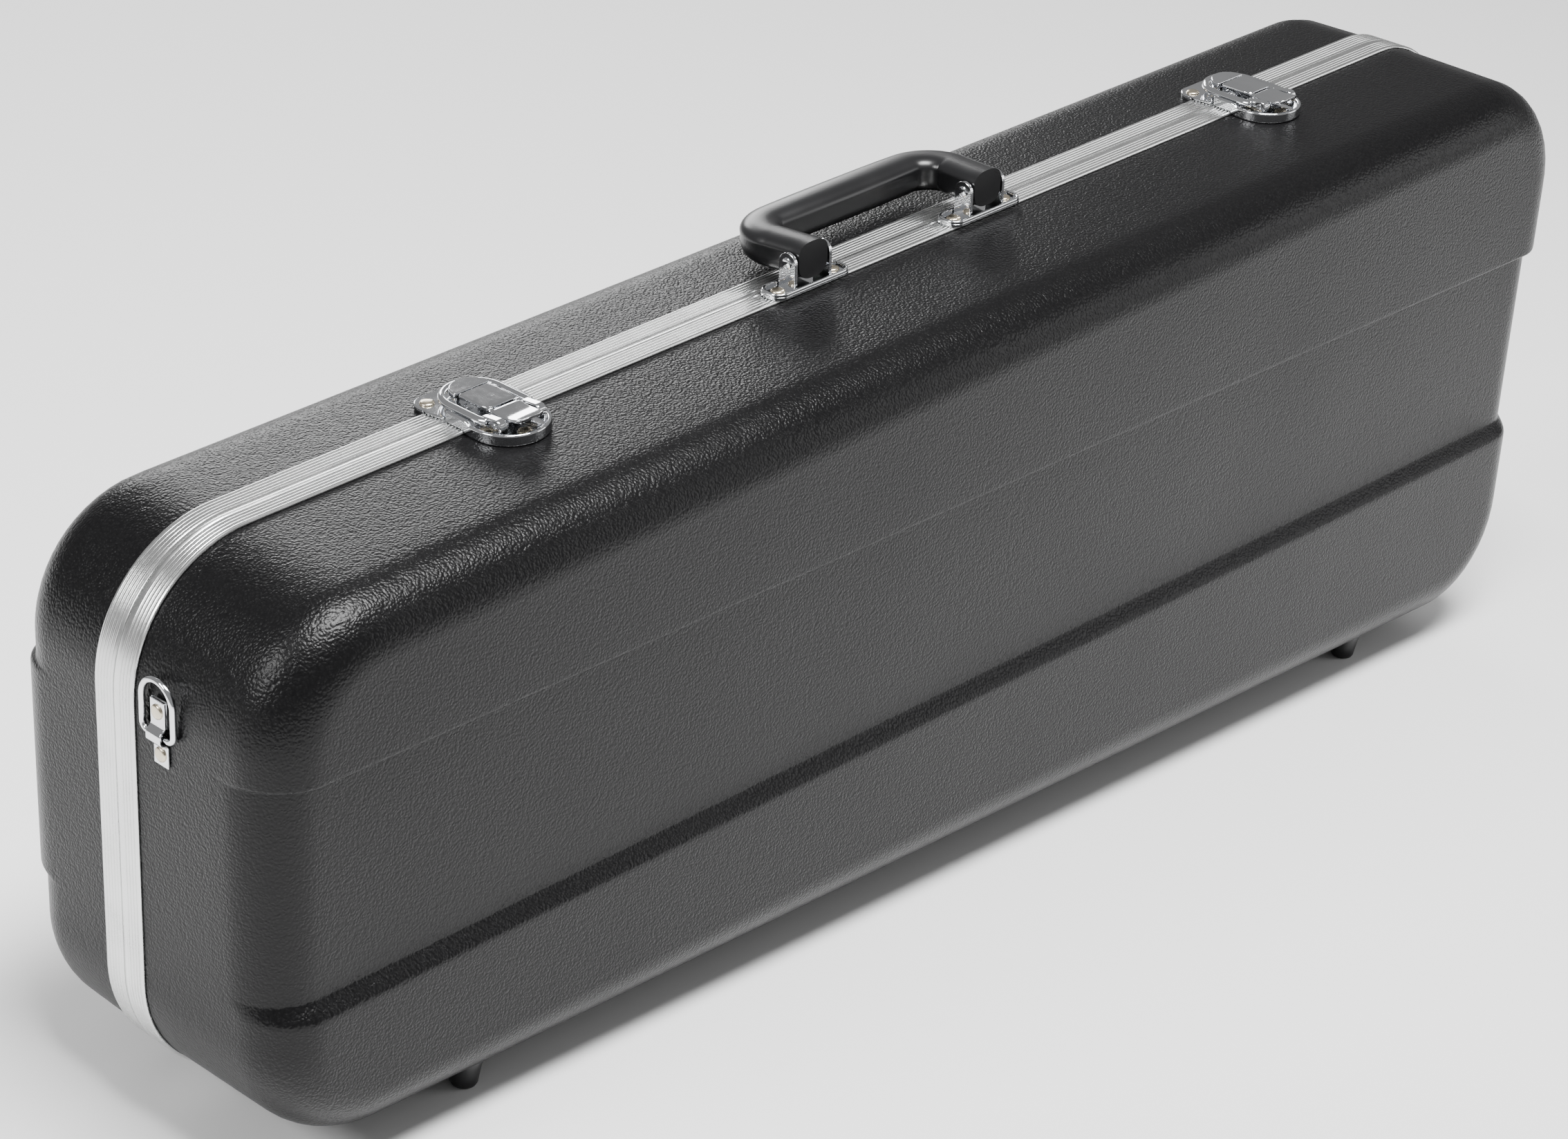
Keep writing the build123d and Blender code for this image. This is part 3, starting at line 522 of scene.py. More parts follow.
def face_grid(inset, rows_at, columns, radius):
    """A grid that fills the outline drawn in by inset. Its rows keep a constant v near the
    middle and lean to the top and bottom edges further out."""
    slope = math.tan(TAPER)
    edge_inset = inset / math.cos(TAPER)

    def edge_v(u):
        return MEAN_H / 2 + u * slope - edge_inset

    def row_v(w, u):
        if abs(w) <= 1:
            return w * STEADY_V + 0 * u
        return np.sign(w) * (STEADY_V + (abs(w) - 1) * (edge_v(u) - STEADY_V))

    grid = []
    for w in rows_at:
        ends = []
        for side in (-1, 1):
            lo, hi = 0.0, side * HALF
            if abs(w) >= 1.9999:
                # the outermost row ends where the corner's arc begins
                ends.append(side * (HALF - inset) - side * (radius * (1 - side * math.sin(TAPER))))
                continue
            for _ in range(40):
                mid = (lo + hi) / 2
                if inside(np.array([mid, float(row_v(w, mid))]), inset)[0] < 0:
                    lo = mid
                else:
                    hi = mid
            ends.append(lo)
        u = np.linspace(ends[0], ends[1], columns)
        grid.append(np.stack([u, row_v(w, u)], 1))
    return np.array(grid)


def steps_between(*runs):
    """Joins runs of (start, end, count) into one rising list without repeats."""
    values = []
    for start, end, count in runs:
        values += list(np.linspace(start, end, count))
    return sorted(set(round(v, 6) for v in values))


def corner_rows(radius, reach, count=12):
    """Row positions from 1 to 2 that sample a corner arc of that radius evenly."""
    return [2 - radius * (1 - math.cos(a)) / reach for a in np.linspace(0, math.pi / 2, count)]


def blend(v, centre, width):
    """A soft step from 0 to 1 about centre."""
    t = np.clip((v - centre) / width + 0.5, 0, 1)
    return t * t * (3 - 2 * t)


def ledge(v, low, high, low_soft, high_soft):
    """A straight ramp from 0 at low to 1 at high with rounded ends."""
    def knee(x, soft):
        return soft * np.logaddexp(0, x / soft)
    rise = knee(v - low, low_soft) - knee(v - high, high_soft)
    return rise / (high - low)


def shell(name, side, depth, band_shift, node, slopes, body):
    """One moulded half: flat face with its band, round edges and drafted sides."""
    radius = CORNER_R - EDGE_R
    reach = MEAN_H / 2 - EDGE_R - STEADY_V
    ledges = steps_between(
        (-1.0, -0.86, 5),
        (-0.86, -0.64, 40),
        (-0.64, 0.75, 26),
        (0.75, 0.88, 34),
        (0.88, 1.0, 4),
    )
    arcs = [r for r in corner_rows(radius, reach) if r > 1.02]
    fill = list(np.linspace(1.0, min(arcs), 6))[1:-1]
    rows = sorted([-r for r in arcs + fill] + ledges + fill + arcs)
    grid = face_grid(EDGE_R, rows, 150, radius)
    low, high = slopes

    def total(v):
        return depth + band_shift * ledge(v, *low) * (1 - ledge(v, *high))

    n_rows, n_cols = grid.shape[:2]
    flat_pts = grid.reshape(-1, 2)
    depths = total(flat_pts[:, 1])
    verts = [
        MIDDLE + ALONG * u + UP * v + BACKWARD * side * d
        for (u, v), d in zip(flat_pts, depths)
    ]
    faces = grid_faces(n_rows, n_cols)
    loop = grid_border(n_rows, n_cols)
    rim_uv = flat_pts[loop]
    h = 1e-5
    grad = np.stack(
        [
            inside(rim_uv + (h, 0), EDGE_R) - inside(rim_uv - (h, 0), EDGE_R),
            inside(rim_uv + (0, h), EDGE_R) - inside(rim_uv - (0, h), EDGE_R),
        ],
        1,
    )
    grad /= np.linalg.norm(grad, axis=1)[:, None]
    rim_depth = total(rim_uv[:, 1])
    previous = loop
    turns = [math.radians(a) for a in np.linspace(0, 89, 13)[1:]]
    rings = []
    for turn in turns:
        move = EDGE_R * math.sin(turn)
        rings.append((move, rim_depth - EDGE_R + EDGE_R * math.cos(turn)))
    side_start = rings[-1][1]
    for k in range(1, 7):
        d = side_start + (MOUTH - side_start) * k / 6
        grow = (side_start - d) * math.tan(DRAFT)
        rings.append((rings[len(turns) - 1][0] + grow, d))
    # the draft is taken back evenly, so that the mouth ends on the outline
    shift = EDGE_R - rings[-1][0]
    for move, d in rings:
        start = len(verts)
        moved = rim_uv + grad * np.reshape(move + shift * np.clip(move / EDGE_R, 0, 1), (-1, 1))
        for (u, v), q in zip(moved, d):
            verts.append(MIDDLE + ALONG * u + UP * v + BACKWARD * side * q)
        ring = list(range(start, len(verts)))
        faces += ribbon(previous, ring)
        previous = ring
    obj = make(name, verts, faces, GRAIN, body, "shell_plastic", (node,), angle=60)
    mod = obj.modifiers.new("thickness", "SOLIDIFY")
    mod.thickness = 0.0025
    mod.offset = -1
    return obj


shell(
    "base_moulding", -1, BASE_D, -BAND_IN, "base_shell",
    ((BAND_LOW - 0.0058, BAND_LOW, 0.0007, 0.0003), (BAND_TOP, BAND_TOP + 0.0010, 0.0002, 0.0004)),
    "base",
)
shell(
    "lid_moulding", 1, LID_D, BAND_OUT, "lid_shell",
    (
        (BAND_LOW - 0.0008, BAND_LOW + 0.0008, 0.0003, 0.0005),
        (BAND_TOP - 0.0008, BAND_TOP + 0.0008, 0.0005, 0.0003),
    ),
    "lid",
)


# ---- aluminium rims ----------------------------------------------------------------------------
def rim(name, side, node, body):
    """A folded channel with fine ridges along its outer face."""
    skin = []
    ridges, start, end = 5, 0.0016, 0.0104
    crest, dip = RIM_SHEET, RIM_SHEET - 0.00062
    skin += [(0.0002, 0.0006), (0.0004, crest - 0.0001), (0.0008, crest), (0.0013, crest)]
    pitch = (end - start) / ridges
    for k in range(ridges):
        y = start + k * pitch
        skin += [
            (y + pitch * 0.08, dip + 0.00012),
            (y + pitch * 0.20, dip),
            (y + pitch * 0.34, dip + 0.00012),
            (y + pitch * 0.48, crest - 0.00006),
            (y + pitch * 0.62, crest),
            (y + pitch * 0.84, crest),
            (y + pitch * 0.96, crest - 0.00008),
        ]
    skin += [(0.0107, crest - 0.0002), (0.0110, crest - 0.0007), (0.0110, 0.00005)]
    skin += [(0.0016, 0.00005), (0.0016, -0.0032), (0.0080, -0.0032), (0.0080, -0.0043)]
    skin += [(0.0002, -0.0043)]
    pts, normals = outline()
    n, m = len(pts), len(skin)
    verts = []
    for p, nrm in zip(pts, normals):
        for y, h in skin:
            uv = p + nrm * h
            verts.append(MIDDLE + ALONG * uv[0] + UP * uv[1] + BACKWARD * side * y)
    faces = []
    for i in range(n):
        j = (i + 1) % n
        for k in range(m):
            q = (k + 1) % m
            faces.append((i * m + k, i * m + q, j * m + q, j * m + k))
    make(name, verts, faces, ALUMINIUM, body, "rim_aluminium", (node,), angle=28)


rim("base_rim", -1, "base_valance", "base")
rim("lid_rim", 1, "lid_valance", "lid")


# ---- rivets and feet -----------------------------------------------------------------------------
def dome(seat):
    """Profile of a low rivet head on its seat."""
    radius, height = 0.0030, 0.0011
    return [
        (radius, seat),
        (radius, seat + height * 0.25),
        (radius * 0.93, seat + height * 0.62),
        (radius * 0.75, seat + height * 0.86),
        (radius * 0.45, seat + height * 0.97),
        (radius * 0.12, seat + height),
    ]


def rivets(name, spots, body, node):
    """One piece with a head at each of the spots, (axes, x, y, seat)."""
    heads = Build()
    for axes, x, y, h in spots:
        heads.lathe(axes, (x, y), dome(h))
    heads.piece(name, RIVET, body, "rivet_metal", (node,), angle=50)


LATCH_AXES = [frame_top(LATCH_SHIFT - LATCH_S), frame_top(LATCH_SHIFT + LATCH_S)]
BRACKET_AXES = [frame_top(-BRACKET_S), frame_top(BRACKET_S)]
rivets(
    "latch_plate_rivets",
    [
        (a, x, y, 0.0001)
        for a in LATCH_AXES
        for x, y in ((-0.011, -0.017), (0.011, -0.017), (0, -0.027))
    ],
    "base",
    "latch_rivets",
)
rivets(
    "catch_plate_rivets",
    [(a, x, 0.0142, 0.0011) for a in LATCH_AXES for x in (-0.0124, 0.0124)],
    "lid",
    "catch_rivets",
)
rivets(
    "bracket_plate_rivets",
    [(a, x, BRACKET_Y, 0.0013) for a in BRACKET_AXES for x in (-0.016, 0.016)],
    "base",
    "bracket_rivets",
)
rivets(
    "keeper_strip_rivets",
    [
        (frame_end(side), -side * KEEPER_Y, RING_BAR + rise, h)
        for side, _ in SIDES
        for rise, h in ((0.0096, 0.0019), (-0.0080, 0.0009))
    ],
    "base",
    "keeper_rivets",
)


def foot(name, s, y, body, node):
    """A tapered foot on the floor, s along from the middle and y behind the parting line."""
    x = SHIFT + MEAN_H / 2 * math.sin(TAPER) + 0.004 + s
    axes = (np.array([x, PART_Y + y, 0.0]), np.array([1.0, 0, 0]), BACKWARD, np.array([0, 0, 1.0]))
    profile = [(0.0005, 0.0), (0.0038, 0.0), (0.0050, 0.0006), (0.0056, 0.0018), (0.0062, 0.006)]
    profile += [(0.0068, 0.0098), (0.0073, 0.0116), (0.0075, 0.0150), (0.0005, 0.0150)]
    Build().lathe(axes, (0, 0), profile).piece(name, FOOTING, body, "foot_plastic", (node,), angle=50)


FOOT_S, FOOT_FRONT, FOOT_BACK = 0.29, -0.064, 0.046
for side, word in SIDES:
    foot(f"foot_front_{word}", side * FOOT_S, FOOT_FRONT, "base", f"foot_base_{word}")
    foot(f"foot_back_{word}", side * FOOT_S, FOOT_BACK, "lid", f"foot_lid_{word}")


# ---- latches -------------------------------------------------------------------------------------
def side_axes(axes, x):
    """Axes for a piece drawn from the side at x: its own X is lid-ward, Y out, Z along the rim."""
    origin, along, lidward, out = axes
    return origin + along * x, lidward, out, along


def sheet_profile(points, thick):
    """A closed outline from a bent line with a thickness, in side view."""
    p = np.asarray(points, float)
    t = np.gradient(p, axis=0)
    t /= np.linalg.norm(t, axis=1)[:, None]
    n = np.stack([-t[:, 1], t[:, 0]], 1)
    return [tuple(a) for a in p] + [tuple(a) for a in (p - n * thick)[::-1]]


def ear_profile(pin, radius, low, steps):
    """A round-topped ear about a pin, from the side."""
    return [(pin[0] - radius, low)] + arc(*pin, radius, 180, 0, steps) + [(pin[0] + radius, low)]


def pin_profile(core, radius, length, soft=0.0003):
    """A straight pin with softened ends, as (radius, height)."""
    return [
        (core, 0), (radius - soft, 0), (radius, soft),
        (radius, length - soft), (radius - soft, length), (core, length),
    ]


LEVER_PIN, BAIL_PIN = (-0.0014, 0.0050), (-0.0230, 0.0048)
TRAY_HALF, TRAY_REACH = 0.0165, 0.034
COVER_HALF, HOOK_R = 0.0078, 0.0088
LOBE_X, LOBE_Y = 0.0104, 0.0140


def latch_tray(axes, word):
    """Base plate: floor, thick rounded wall, and side bars that run over the rim."""
    plate = Build()
    round_y = TRAY_HALF - TRAY_REACH
    wall_x = TRAY_HALF - 0.0010
    floor = [(-wall_x, -0.0112)] + arc(0, round_y, wall_x, 180, 360, 24) + [(wall_x, -0.0112)]
    plate.prism(axes, floor, -0.0016, 0.0001)
    strip = [(-0.0150, -0.0118), (0.0150, -0.0118), (0.0150, -0.0006), (-0.0150, -0.0006)]
    plate.prism(axes, strip, 0.00005, 0.0012)
    bar = [(-0.0008, 0.0024), (-0.0098, 0.0024)]
    bar += [(-0.0112, 0.0021), (-0.0126, 0.0012), (-0.0140, 0.0008)]
    path = [(-wall_x, y, h) for y, h in bar]
    path += [(x, y, 0.0008) for x, y in arc(0, round_y, wall_x, 180, 360, 40)]
    path += [(wall_x, y, h) for y, h in bar[::-1]]
    plate.tube(place(axes, path), rounded(0.0019, 0.0048, 0.0008, 5), normal=axes[3])
    for x in (-0.0059, 0.0047):
        plate.prism(side_axes(axes, x), ear_profile(LEVER_PIN, 0.0015, 0.0008, 10), 0, 0.0012)
    plate.piece(
        f"latch_tray_{word}", CHROME, "base", "bright_chrome", (f"latch_plate_{word}",), bevel=0.0003
    )


def latch_cover(axes, word):
    """Lever: crowned square cover, hinge step, and a thumb tab that curls up."""
    lever = Build()
    crown = [(-COVER_HALF, 0.0070), (-0.0077, 0.0076), (-0.0072, 0.00795), (-0.0060, 0.0080)]
    crown += [(0.0, 0.00805)] + [(-x, h) for x, h in crown[::-1]]
    rows = [(0.0014, 0.0, 0.0), (0.0010, 0.0, 0.0), (-0.0040, 0.0, 0.00002), (-0.0100, 0.0, 0.0)]
    rows += [(-0.0130, 0.0004, 0.0), (-0.0141, 0.0011, -0.0001), (-0.0146, 0.0022, -0.0003)]
    tab = [(-0.0152, 0.0012, -0.0010), (-0.0156, 0.0008, -0.0008), (-0.0170, 0.0006, -0.0007)]
    tab += [(-0.0220, 0.0005, -0.0010), (-0.0260, 0.0006, -0.0008), (-0.0290, 0.0010, -0.0001)]
    tab += [(-0.0305, 0.0018, 0.0003), (-0.0314, 0.0032, 0.0006), (-0.0318, 0.0050, 0.0007)]
    for strips in (rows, tab):
        pts = []
        for layer in (0.0, -0.0011):
            for y, narrow, rise in strips:
                for x, h in crown:
                    inner = x * (1 - narrow / COVER_HALF) * (1 if layer == 0 else 0.93)
                    pts.append((inner, y, h + rise + layer * (0.55 if abs(x) > 0.007 else 1)))
        total = len(crown) * len(strips)
        edge = grid_border(len(strips), len(crown))
        quads = two_sided(grid_faces(len(strips), len(crown)), total)
        quads += ribbon(edge, [total + i for i in edge])
        lever.add(place(axes, pts), quads)
    cheek = [(0.0012, 0.0074), (-0.0140, 0.0074), (-0.0160, 0.0064), (-0.0235, 0.0064)]
    cheek += arc(BAIL_PIN[0], BAIL_PIN[1] - 0.0004, 0.0022, 120, 300, 10)
    cheek += [(-0.0150, 0.0030), (-0.0042, 0.0034), (0.0012, 0.0042)]
    for x in (-0.0076, 0.0065):
        lever.prism(side_axes(axes, x), cheek, 0, 0.0011)
    lever.piece(
        f"latch_cover_{word}", CHROME, f"latch_lever_{word}", "bright_chrome",
        (f"latch_lever_{word}",), bevel=0.00028,
    )


def latch_roll(axes, word):
    """The two short rolls of the lever's hinge step."""
    barrel = Build()
    for x in (-0.0079, 0.0053):
        roll = pin_profile(0.0003, 0.0015, 0.0026)
        barrel.lathe(side_axes(axes, x), (-0.0153, 0.0061), roll, 24)
    barrel.piece(
        f"latch_roll_{word}", CHROME, f"latch_lever_{word}", "bright_chrome", angle=40
    )


def latch_loop(axes, word):
    """Bail: a thick wire round the hook cap, flattened where its pins pass."""
    wire_x, level = 0.0124, BAIL_PIN[1]
    leg = [(-wire_x + 0.0012, -0.0185), (-wire_x + 0.0003, -0.0165)]
    leg += [(-wire_x, y) for y in np.linspace(-0.0145, -0.001, 6)]
    run = leg + arc(0, 0.0010, wire_x, 180, 0, 32) + [(-x, y) for x, y in leg[::-1]]
    bail = Build()
    bail.tube(place(axes, [(x, y, level) for x, y in run]), circle(0.0017), normal=axes[3])
    for start in (-0.0117, 0.0081):
        lug = arc(BAIL_PIN[0] - 0.0006, level, 0.0026, 75, 285, 16)
        lug += arc(-0.0166, level, 0.0019, -75, 75, 8)
        bail.prism(side_axes(axes, start), lug, 0, 0.0036)
    bail.piece(
        f"latch_loop_{word}", CHROME, f"latch_bail_{word}", "bright_chrome",
        (f"latch_bail_{word}",), bevel=0.0005, segs=4,
    )


def latch_pins(axes, word):
    """The pins in the bail's ends."""
    pins = Build()
    for x in (-0.0123, 0.0058):
        pins.lathe(side_axes(axes, x), BAIL_PIN, pin_profile(0.0002, 0.0012, 0.0065), 24)
    pins.piece(
        f"latch_loop_pins_{word}", CHROME, f"latch_bail_{word}", "bright_chrome",
        (f"latch_bail_pins_{word}",), angle=40,
    )


def latch_hook(axes, word):
    """Catch: a wide two-riveted plate, a collar and the half-round hook cap."""
    catch = Build()
    sheet = [(-0.0160, 0.0010), (0.0160, 0.0010), (0.0172, 0.0090)]
    sheet += arc(LOBE_X, LOBE_Y, 0.0068, -20, 95, 12) + arc(-LOBE_X, LOBE_Y, 0.0068, 85, 200, 12)
    sheet += [(-0.0172, 0.0090)]
    catch.prism(axes, sheet, 0.00005, 0.0011)
    skirt = [(-0.0168, 0.0114), (0.0168, 0.0114)] + arc(LOBE_X, LOBE_Y, 0.0066, 0, 90, 8)
    skirt += arc(-LOBE_X, LOBE_Y, 0.0066, 90, 180, 8)
    catch.prism(axes, skirt, -0.0016, 0.0004)
    collar = [(-0.0100, 0.0016), (0.0100, 0.0016)] + arc(0, 0.0024, 0.0100, 4, 176, 24)
    catch.prism(axes, collar, 0.0010, 0.0020)
    neck = [(-0.0080, 0.0026), (0.0080, 0.0026)] + arc(0, 0.0028, 0.0080, 3, 177, 24)
    catch.prism(axes, neck, 0.0019, 0.0070)
    cap = [(-HOOK_R, 0.0026), (HOOK_R, 0.0026)] + arc(0, 0.0028, HOOK_R, 3, 177, 28)
    catch.prism(axes, cap, 0.0056, 0.0080)
    catch.piece(
        f"latch_hook_{word}", CHROME, "lid", "bright_chrome", (f"latch_catch_{word}",),
        bevel=0.0006, segs=4,
    )


for axes, word in zip(LATCH_AXES, ("left", "right")):
    latch_tray(axes, word)
    latch_cover(axes, word)
    latch_roll(axes, word)
    latch_loop(axes, word)
    latch_pins(axes, word)
    latch_hook(axes, word)

# ---- handle --------------------------------------------------------------------------------------
PIVOT = (BRACKET_Y, 0.0120)
GRIP_REACH, GRIP_CORNER, GRIP_SPLAY = 0.0326, 0.0150, 0.0018
GRIP_LIFT = math.radians(-2.5)
grip_dir = BACKWARD * math.cos(GRIP_LIFT) + OUT * math.sin(GRIP_LIFT)
grip_up = OUT * math.cos(GRIP_LIFT) - BACKWARD * math.sin(GRIP_LIFT)
grip_axes = (TOP + BACKWARD * PIVOT[0] + OUT * PIVOT[1], EDGE, grip_dir, grip_up)


def grip_section(w, h, power):
    """A soft square section with a raised moulding line above its middle."""
    ridge = 0.0006
    pts = []
    for a in np.linspace(0, 2 * math.pi, 48, endpoint=False):
        c, s = math.cos(a), math.sin(a)
        x = math.copysign(abs(c) ** (2 / power), c) * w / 2
        y = math.copysign(abs(s) ** (2 / power), s) * h / 2
        grow = 1 + 2 * ridge / w * (1 / (1 + math.exp(-(y - 0.0028) / 0.00025)))
        pts.append((x * grow, y))
    return pts


def carrying_grip():
    """The handle: one soft section swept round a D, a little stouter at mid-grip."""
    arm_x = BRACKET_S + GRIP_SPLAY - GRIP_CORNER
    arm_y = GRIP_REACH - GRIP_CORNER
    arm = [(-BRACKET_S, y) for y in np.linspace(-0.0042, arm_y - 0.001, 12)]
    arm = [(x - GRIP_SPLAY * max(0, y) / 0.02, y) for x, y in arm]
    route = arm + arc(-arm_x, arm_y, GRIP_CORNER, 180, 90, 16)
    route += [(x, GRIP_REACH) for x in np.linspace(-arm_x, arm_x, 30)[1:-1]]
    route += arc(arm_x, arm_y, GRIP_CORNER, 90, 0, 16)
    route += [(-x, y) for x, y in arm[::-1]]
    scales = []
    for x, y in route:
        bar = 1 - min(1, abs(x) / (BRACKET_S - 0.010)) ** 3
        swell = bar if y > GRIP_REACH - 0.002 else 0.0
        scales.append((1.0 + 0.06 * swell, 1.0 + 0.03 * swell))
    path = place(grip_axes, [(x, y, 0) for x, y in route])
    grip = Build()
    grip.tube(path, grip_section(0.0168, 0.0158, 2.7), normal=grip_up, scales=scales)
    grip.piece("carrying_grip", GRIP, "handle", "handle_plastic", ("handle_grip",))


def handle_plate(axes, word):
    """Bracket: an oblong plate with a raised rim and two upright ears."""
    bracket = Build()
    lip = [(x, y + BRACKET_Y) for x, y in rounded(0.0440, 0.0130, 0.0050, 8)]
    bracket.prism(axes, lip, 0.00005, 0.0014)
    ring = [(x, y + BRACKET_Y, 0.0017) for x, y in rounded(0.0424, 0.0114, 0.0045, 8)]
    section = rounded(0.0015, 0.0022, 0.0007, 4)
    bracket.tube(place(axes, ring), section, closed=True, normal=axes[3])
    for x in (-0.0109, 0.0093):
        bracket.prism(side_axes(axes, x), ear_profile(PIVOT, 0.0045, 0.0009, 20), 0, 0.0016)
    bracket.piece(
        f"handle_plate_{word}", CHROME, "base", "bright_chrome", (f"handle_bracket_{word}",),
        bevel=0.00035,
    )


def handle_axle(axes, word):
    """The pin through the ears and the end of the grip."""
    profile = [(0.0002, 0), (0.0019, 0), (0.0024, 0.0004), (0.0024, 0.0006), (0.0015, 0.0007)]
    profile += [(0.0015, 0.0225), (0.0024, 0.0226), (0.0024, 0.0228), (0.0019, 0.0232)]
    profile += [(0.0002, 0.0232)]
    pin = Build().lathe(side_axes(axes, -0.0116), PIVOT, profile, 28)
    pin.piece(f"handle_axle_{word}", CHROME, "base", "bright_chrome", (f"handle_pin_{word}",), angle=40)


carrying_grip()
for axes, word in zip(BRACKET_AXES, ("left", "right")):
    handle_plate(axes, word)
    handle_axle(axes, word)


# ---- strap ring keepers ----------------------------------------------------------------------------
def ring_strip(side, word):
    """A stepped strip that holds the ring's bar, with a pad behind its upper end."""
    width = 0.0080
    view = side_axes(frame_end(side), -side * KEEPER_Y - width / 2)
    b = RING_BAR
    line = [
        (b - 0.0126, 0.0010), (b - 0.0042, 0.0010), (b - 0.0034, 0.0016), (b - 0.0026, 0.0036),
        (b - 0.0014, 0.0044), (b + 0.0014, 0.0044), (b + 0.0026, 0.0036), (b + 0.0034, 0.0024),
        (b + 0.0042, 0.0020), (b + 0.0142, 0.0020),
    ]
    pad = [(b + 0.0036, 0.00005), (b + 0.0142, 0.00005), (b + 0.0142, 0.0010), (b + 0.0036, 0.0010)]
    strip = Build().prism(view, sheet_profile(line, 0.0010)[::-1], 0, width)
    strip.prism(view, pad, 0, width)
    strip.piece(
        f"ring_strip_{word}", CHROME, "base", "bright_chrome", (f"ring_keeper_{word}",), bevel=0.0003
    )


for side, word in SIDES:
    ring_strip(side, word)


# ---- lining --------------------------------------------------------------------------------------
def box_sdf(p, cx, cy, w, h, r):
    """Signed distance to a box of size w, h with corners of radius r."""
    q = np.abs(p - (cx, cy)) - (w / 2 - r, h / 2 - r)
    return np.linalg.norm(np.maximum(q, 0), axis=1) + np.minimum(q.max(1), 0) - r


def violin_sdf(p):
    """Signed distance to the well: two bouts, waist, neck channel and scroll space."""
    lower = np.linalg.norm(p - (0.225, 0), axis=1) - 0.107
    upper = np.linalg.norm(p - (0.056, 0), axis=1) - 0.088
    waist = box_sdf(p, 0.150, 0, 0.182, 0.130, 0.01)
    neck = box_sdf(p, -0.166, 0, 0.268, 0.046, 0.004)
    scroll = box_sdf(p, -0.265, 0, 0.105, 0.070, 0.017)
    return np.min([lower, upper, waist, neck, scroll], axis=0)


def slab(name, side, inset, near, far, shoulder, height_at, body, replaced, rows, columns):
    """A plush panel that fills the outline; its open face is shaped by height_at and its far
    side is rounded from shoulder inwards, like the shell around it."""
    grid = face_grid(inset, rows, columns, CORNER_R - inset)
    n_rows, n_cols = grid.shape[:2]
    uv = grid.reshape(-1, 2)
    fronts = height_at(uv, near)
    verts = [MIDDLE + ALONG * u + UP * v + BACKWARD * side * d for (u, v), d in zip(uv, fronts)]
    total = len(uv)
    tuck = 0.020
    far_uv = face_grid(inset + tuck, rows, columns, CORNER_R - inset - tuck).reshape(-1, 2)
    verts += [MIDDLE + ALONG * u + UP * v + BACKWARD * side * far for u, v in far_uv]
    faces = two_sided(grid_faces(n_rows, n_cols), total)
    loop = grid_border(n_rows, n_cols)
    last = loop
    for turn in np.linspace(0, math.pi / 2, 7)[:-1]:
        share = 1 - math.cos(turn)
        depth_at = shoulder + (far - shoulder) * math.sin(turn)
        start = len(verts)
        for i in loop:
            u, v = uv[i] + (far_uv[i] - uv[i]) * share
            verts.append(MIDDLE + ALONG * u + UP * v + BACKWARD * side * depth_at)
        ring = list(range(start, len(verts)))
        faces += ribbon(last, ring)
        last = ring
    faces += ribbon(last, [total + i for i in loop])
    obj = make(name, verts, faces, PLUSH, body, "plush_lining", replaced, angle=60)
    return obj


def bed_height(uv, near):
    """Depth of the bed's open face: the well, the pocket and a rolled edge."""
    well = blend(-violin_sdf(uv), 0.0045, 0.009)
    pocket = blend(-box_sdf(uv, -0.160, 0.068, 0.150, 0.052, 0.006), 0.002, 0.004)
    edge = blend(inside(uv, 0.0035), -0.002, 0.006) * 0.004
    return near + edge + 0.050 * well + (0.046 * pocket * (1 - well))


LINER_INSET = WALL + 0.0035
rows_liner = steps_between((-1.95, -1.0, 22), (-1.0, 1.0, 60), (1.0, 1.95, 22))
slab(
    "violin_bed", -1, LINER_INSET, 0.012, 0.0760, 0.048, bed_height, "base",
    ("base_liner", "bed_upper_left", "bed_lower_left", "bed_upper_right", "bed_lower_right"),
    rows_liner, 260,
)


def panel_height(uv, near):
    """Depth of the lid panel's open face, a little uneven, with a rolled edge."""
    edge = blend(inside(uv, LINER_INSET + 0.003), -0.004, 0.010) * 0.0015
    ripple = 0.0004 * np.sin(uv[:, 0] * 41) * np.sin(uv[:, 1] * 53)
    return near + edge + ripple


slab(
    "lid_panel", 1, LINER_INSET + 0.003, 0.0500, 0.0610, 0.0520, panel_height, "lid",
    ("lid_liner",), steps_between((-1.95, 1.95, 60)), 150,
)


def pillow(name, side, centre, size, depth, thick, mat, body, slot, replaced, crown=0.25, power=6):
    """A soft pad: a rounded slab whose face is crowned."""
    nu, nv = 40, 24
    verts = []
    for layer in (0, 1):
        for r in range(nv + 1):
            for c in range(nu + 1):
                x, y = 2 * c / nu - 1, 2 * r / nv - 1
                bulge = (1 - abs(x) ** power) * (1 - abs(y) ** power)
                pull = 1 - 0.012 * (1 - bulge)
                u = centre[0] + x * pull * size[0] / 2
                v = centre[1] + y * pull * size[1] / 2
                half = thick / 2 * (0.45 + 0.55 * bulge ** crown)
                d = depth + (half if layer else -half)
                verts.append(MIDDLE + ALONG * u + UP * v + BACKWARD * side * d)
    total = len(verts) // 2
    loop = grid_border(nv + 1, nu + 1)
    faces = two_sided(grid_faces(nv + 1, nu + 1), total)
    faces += ribbon(loop, [total + i for i in loop])
    obj = make(name, verts, faces, mat, body, slot, replaced, angle=70)
    return obj


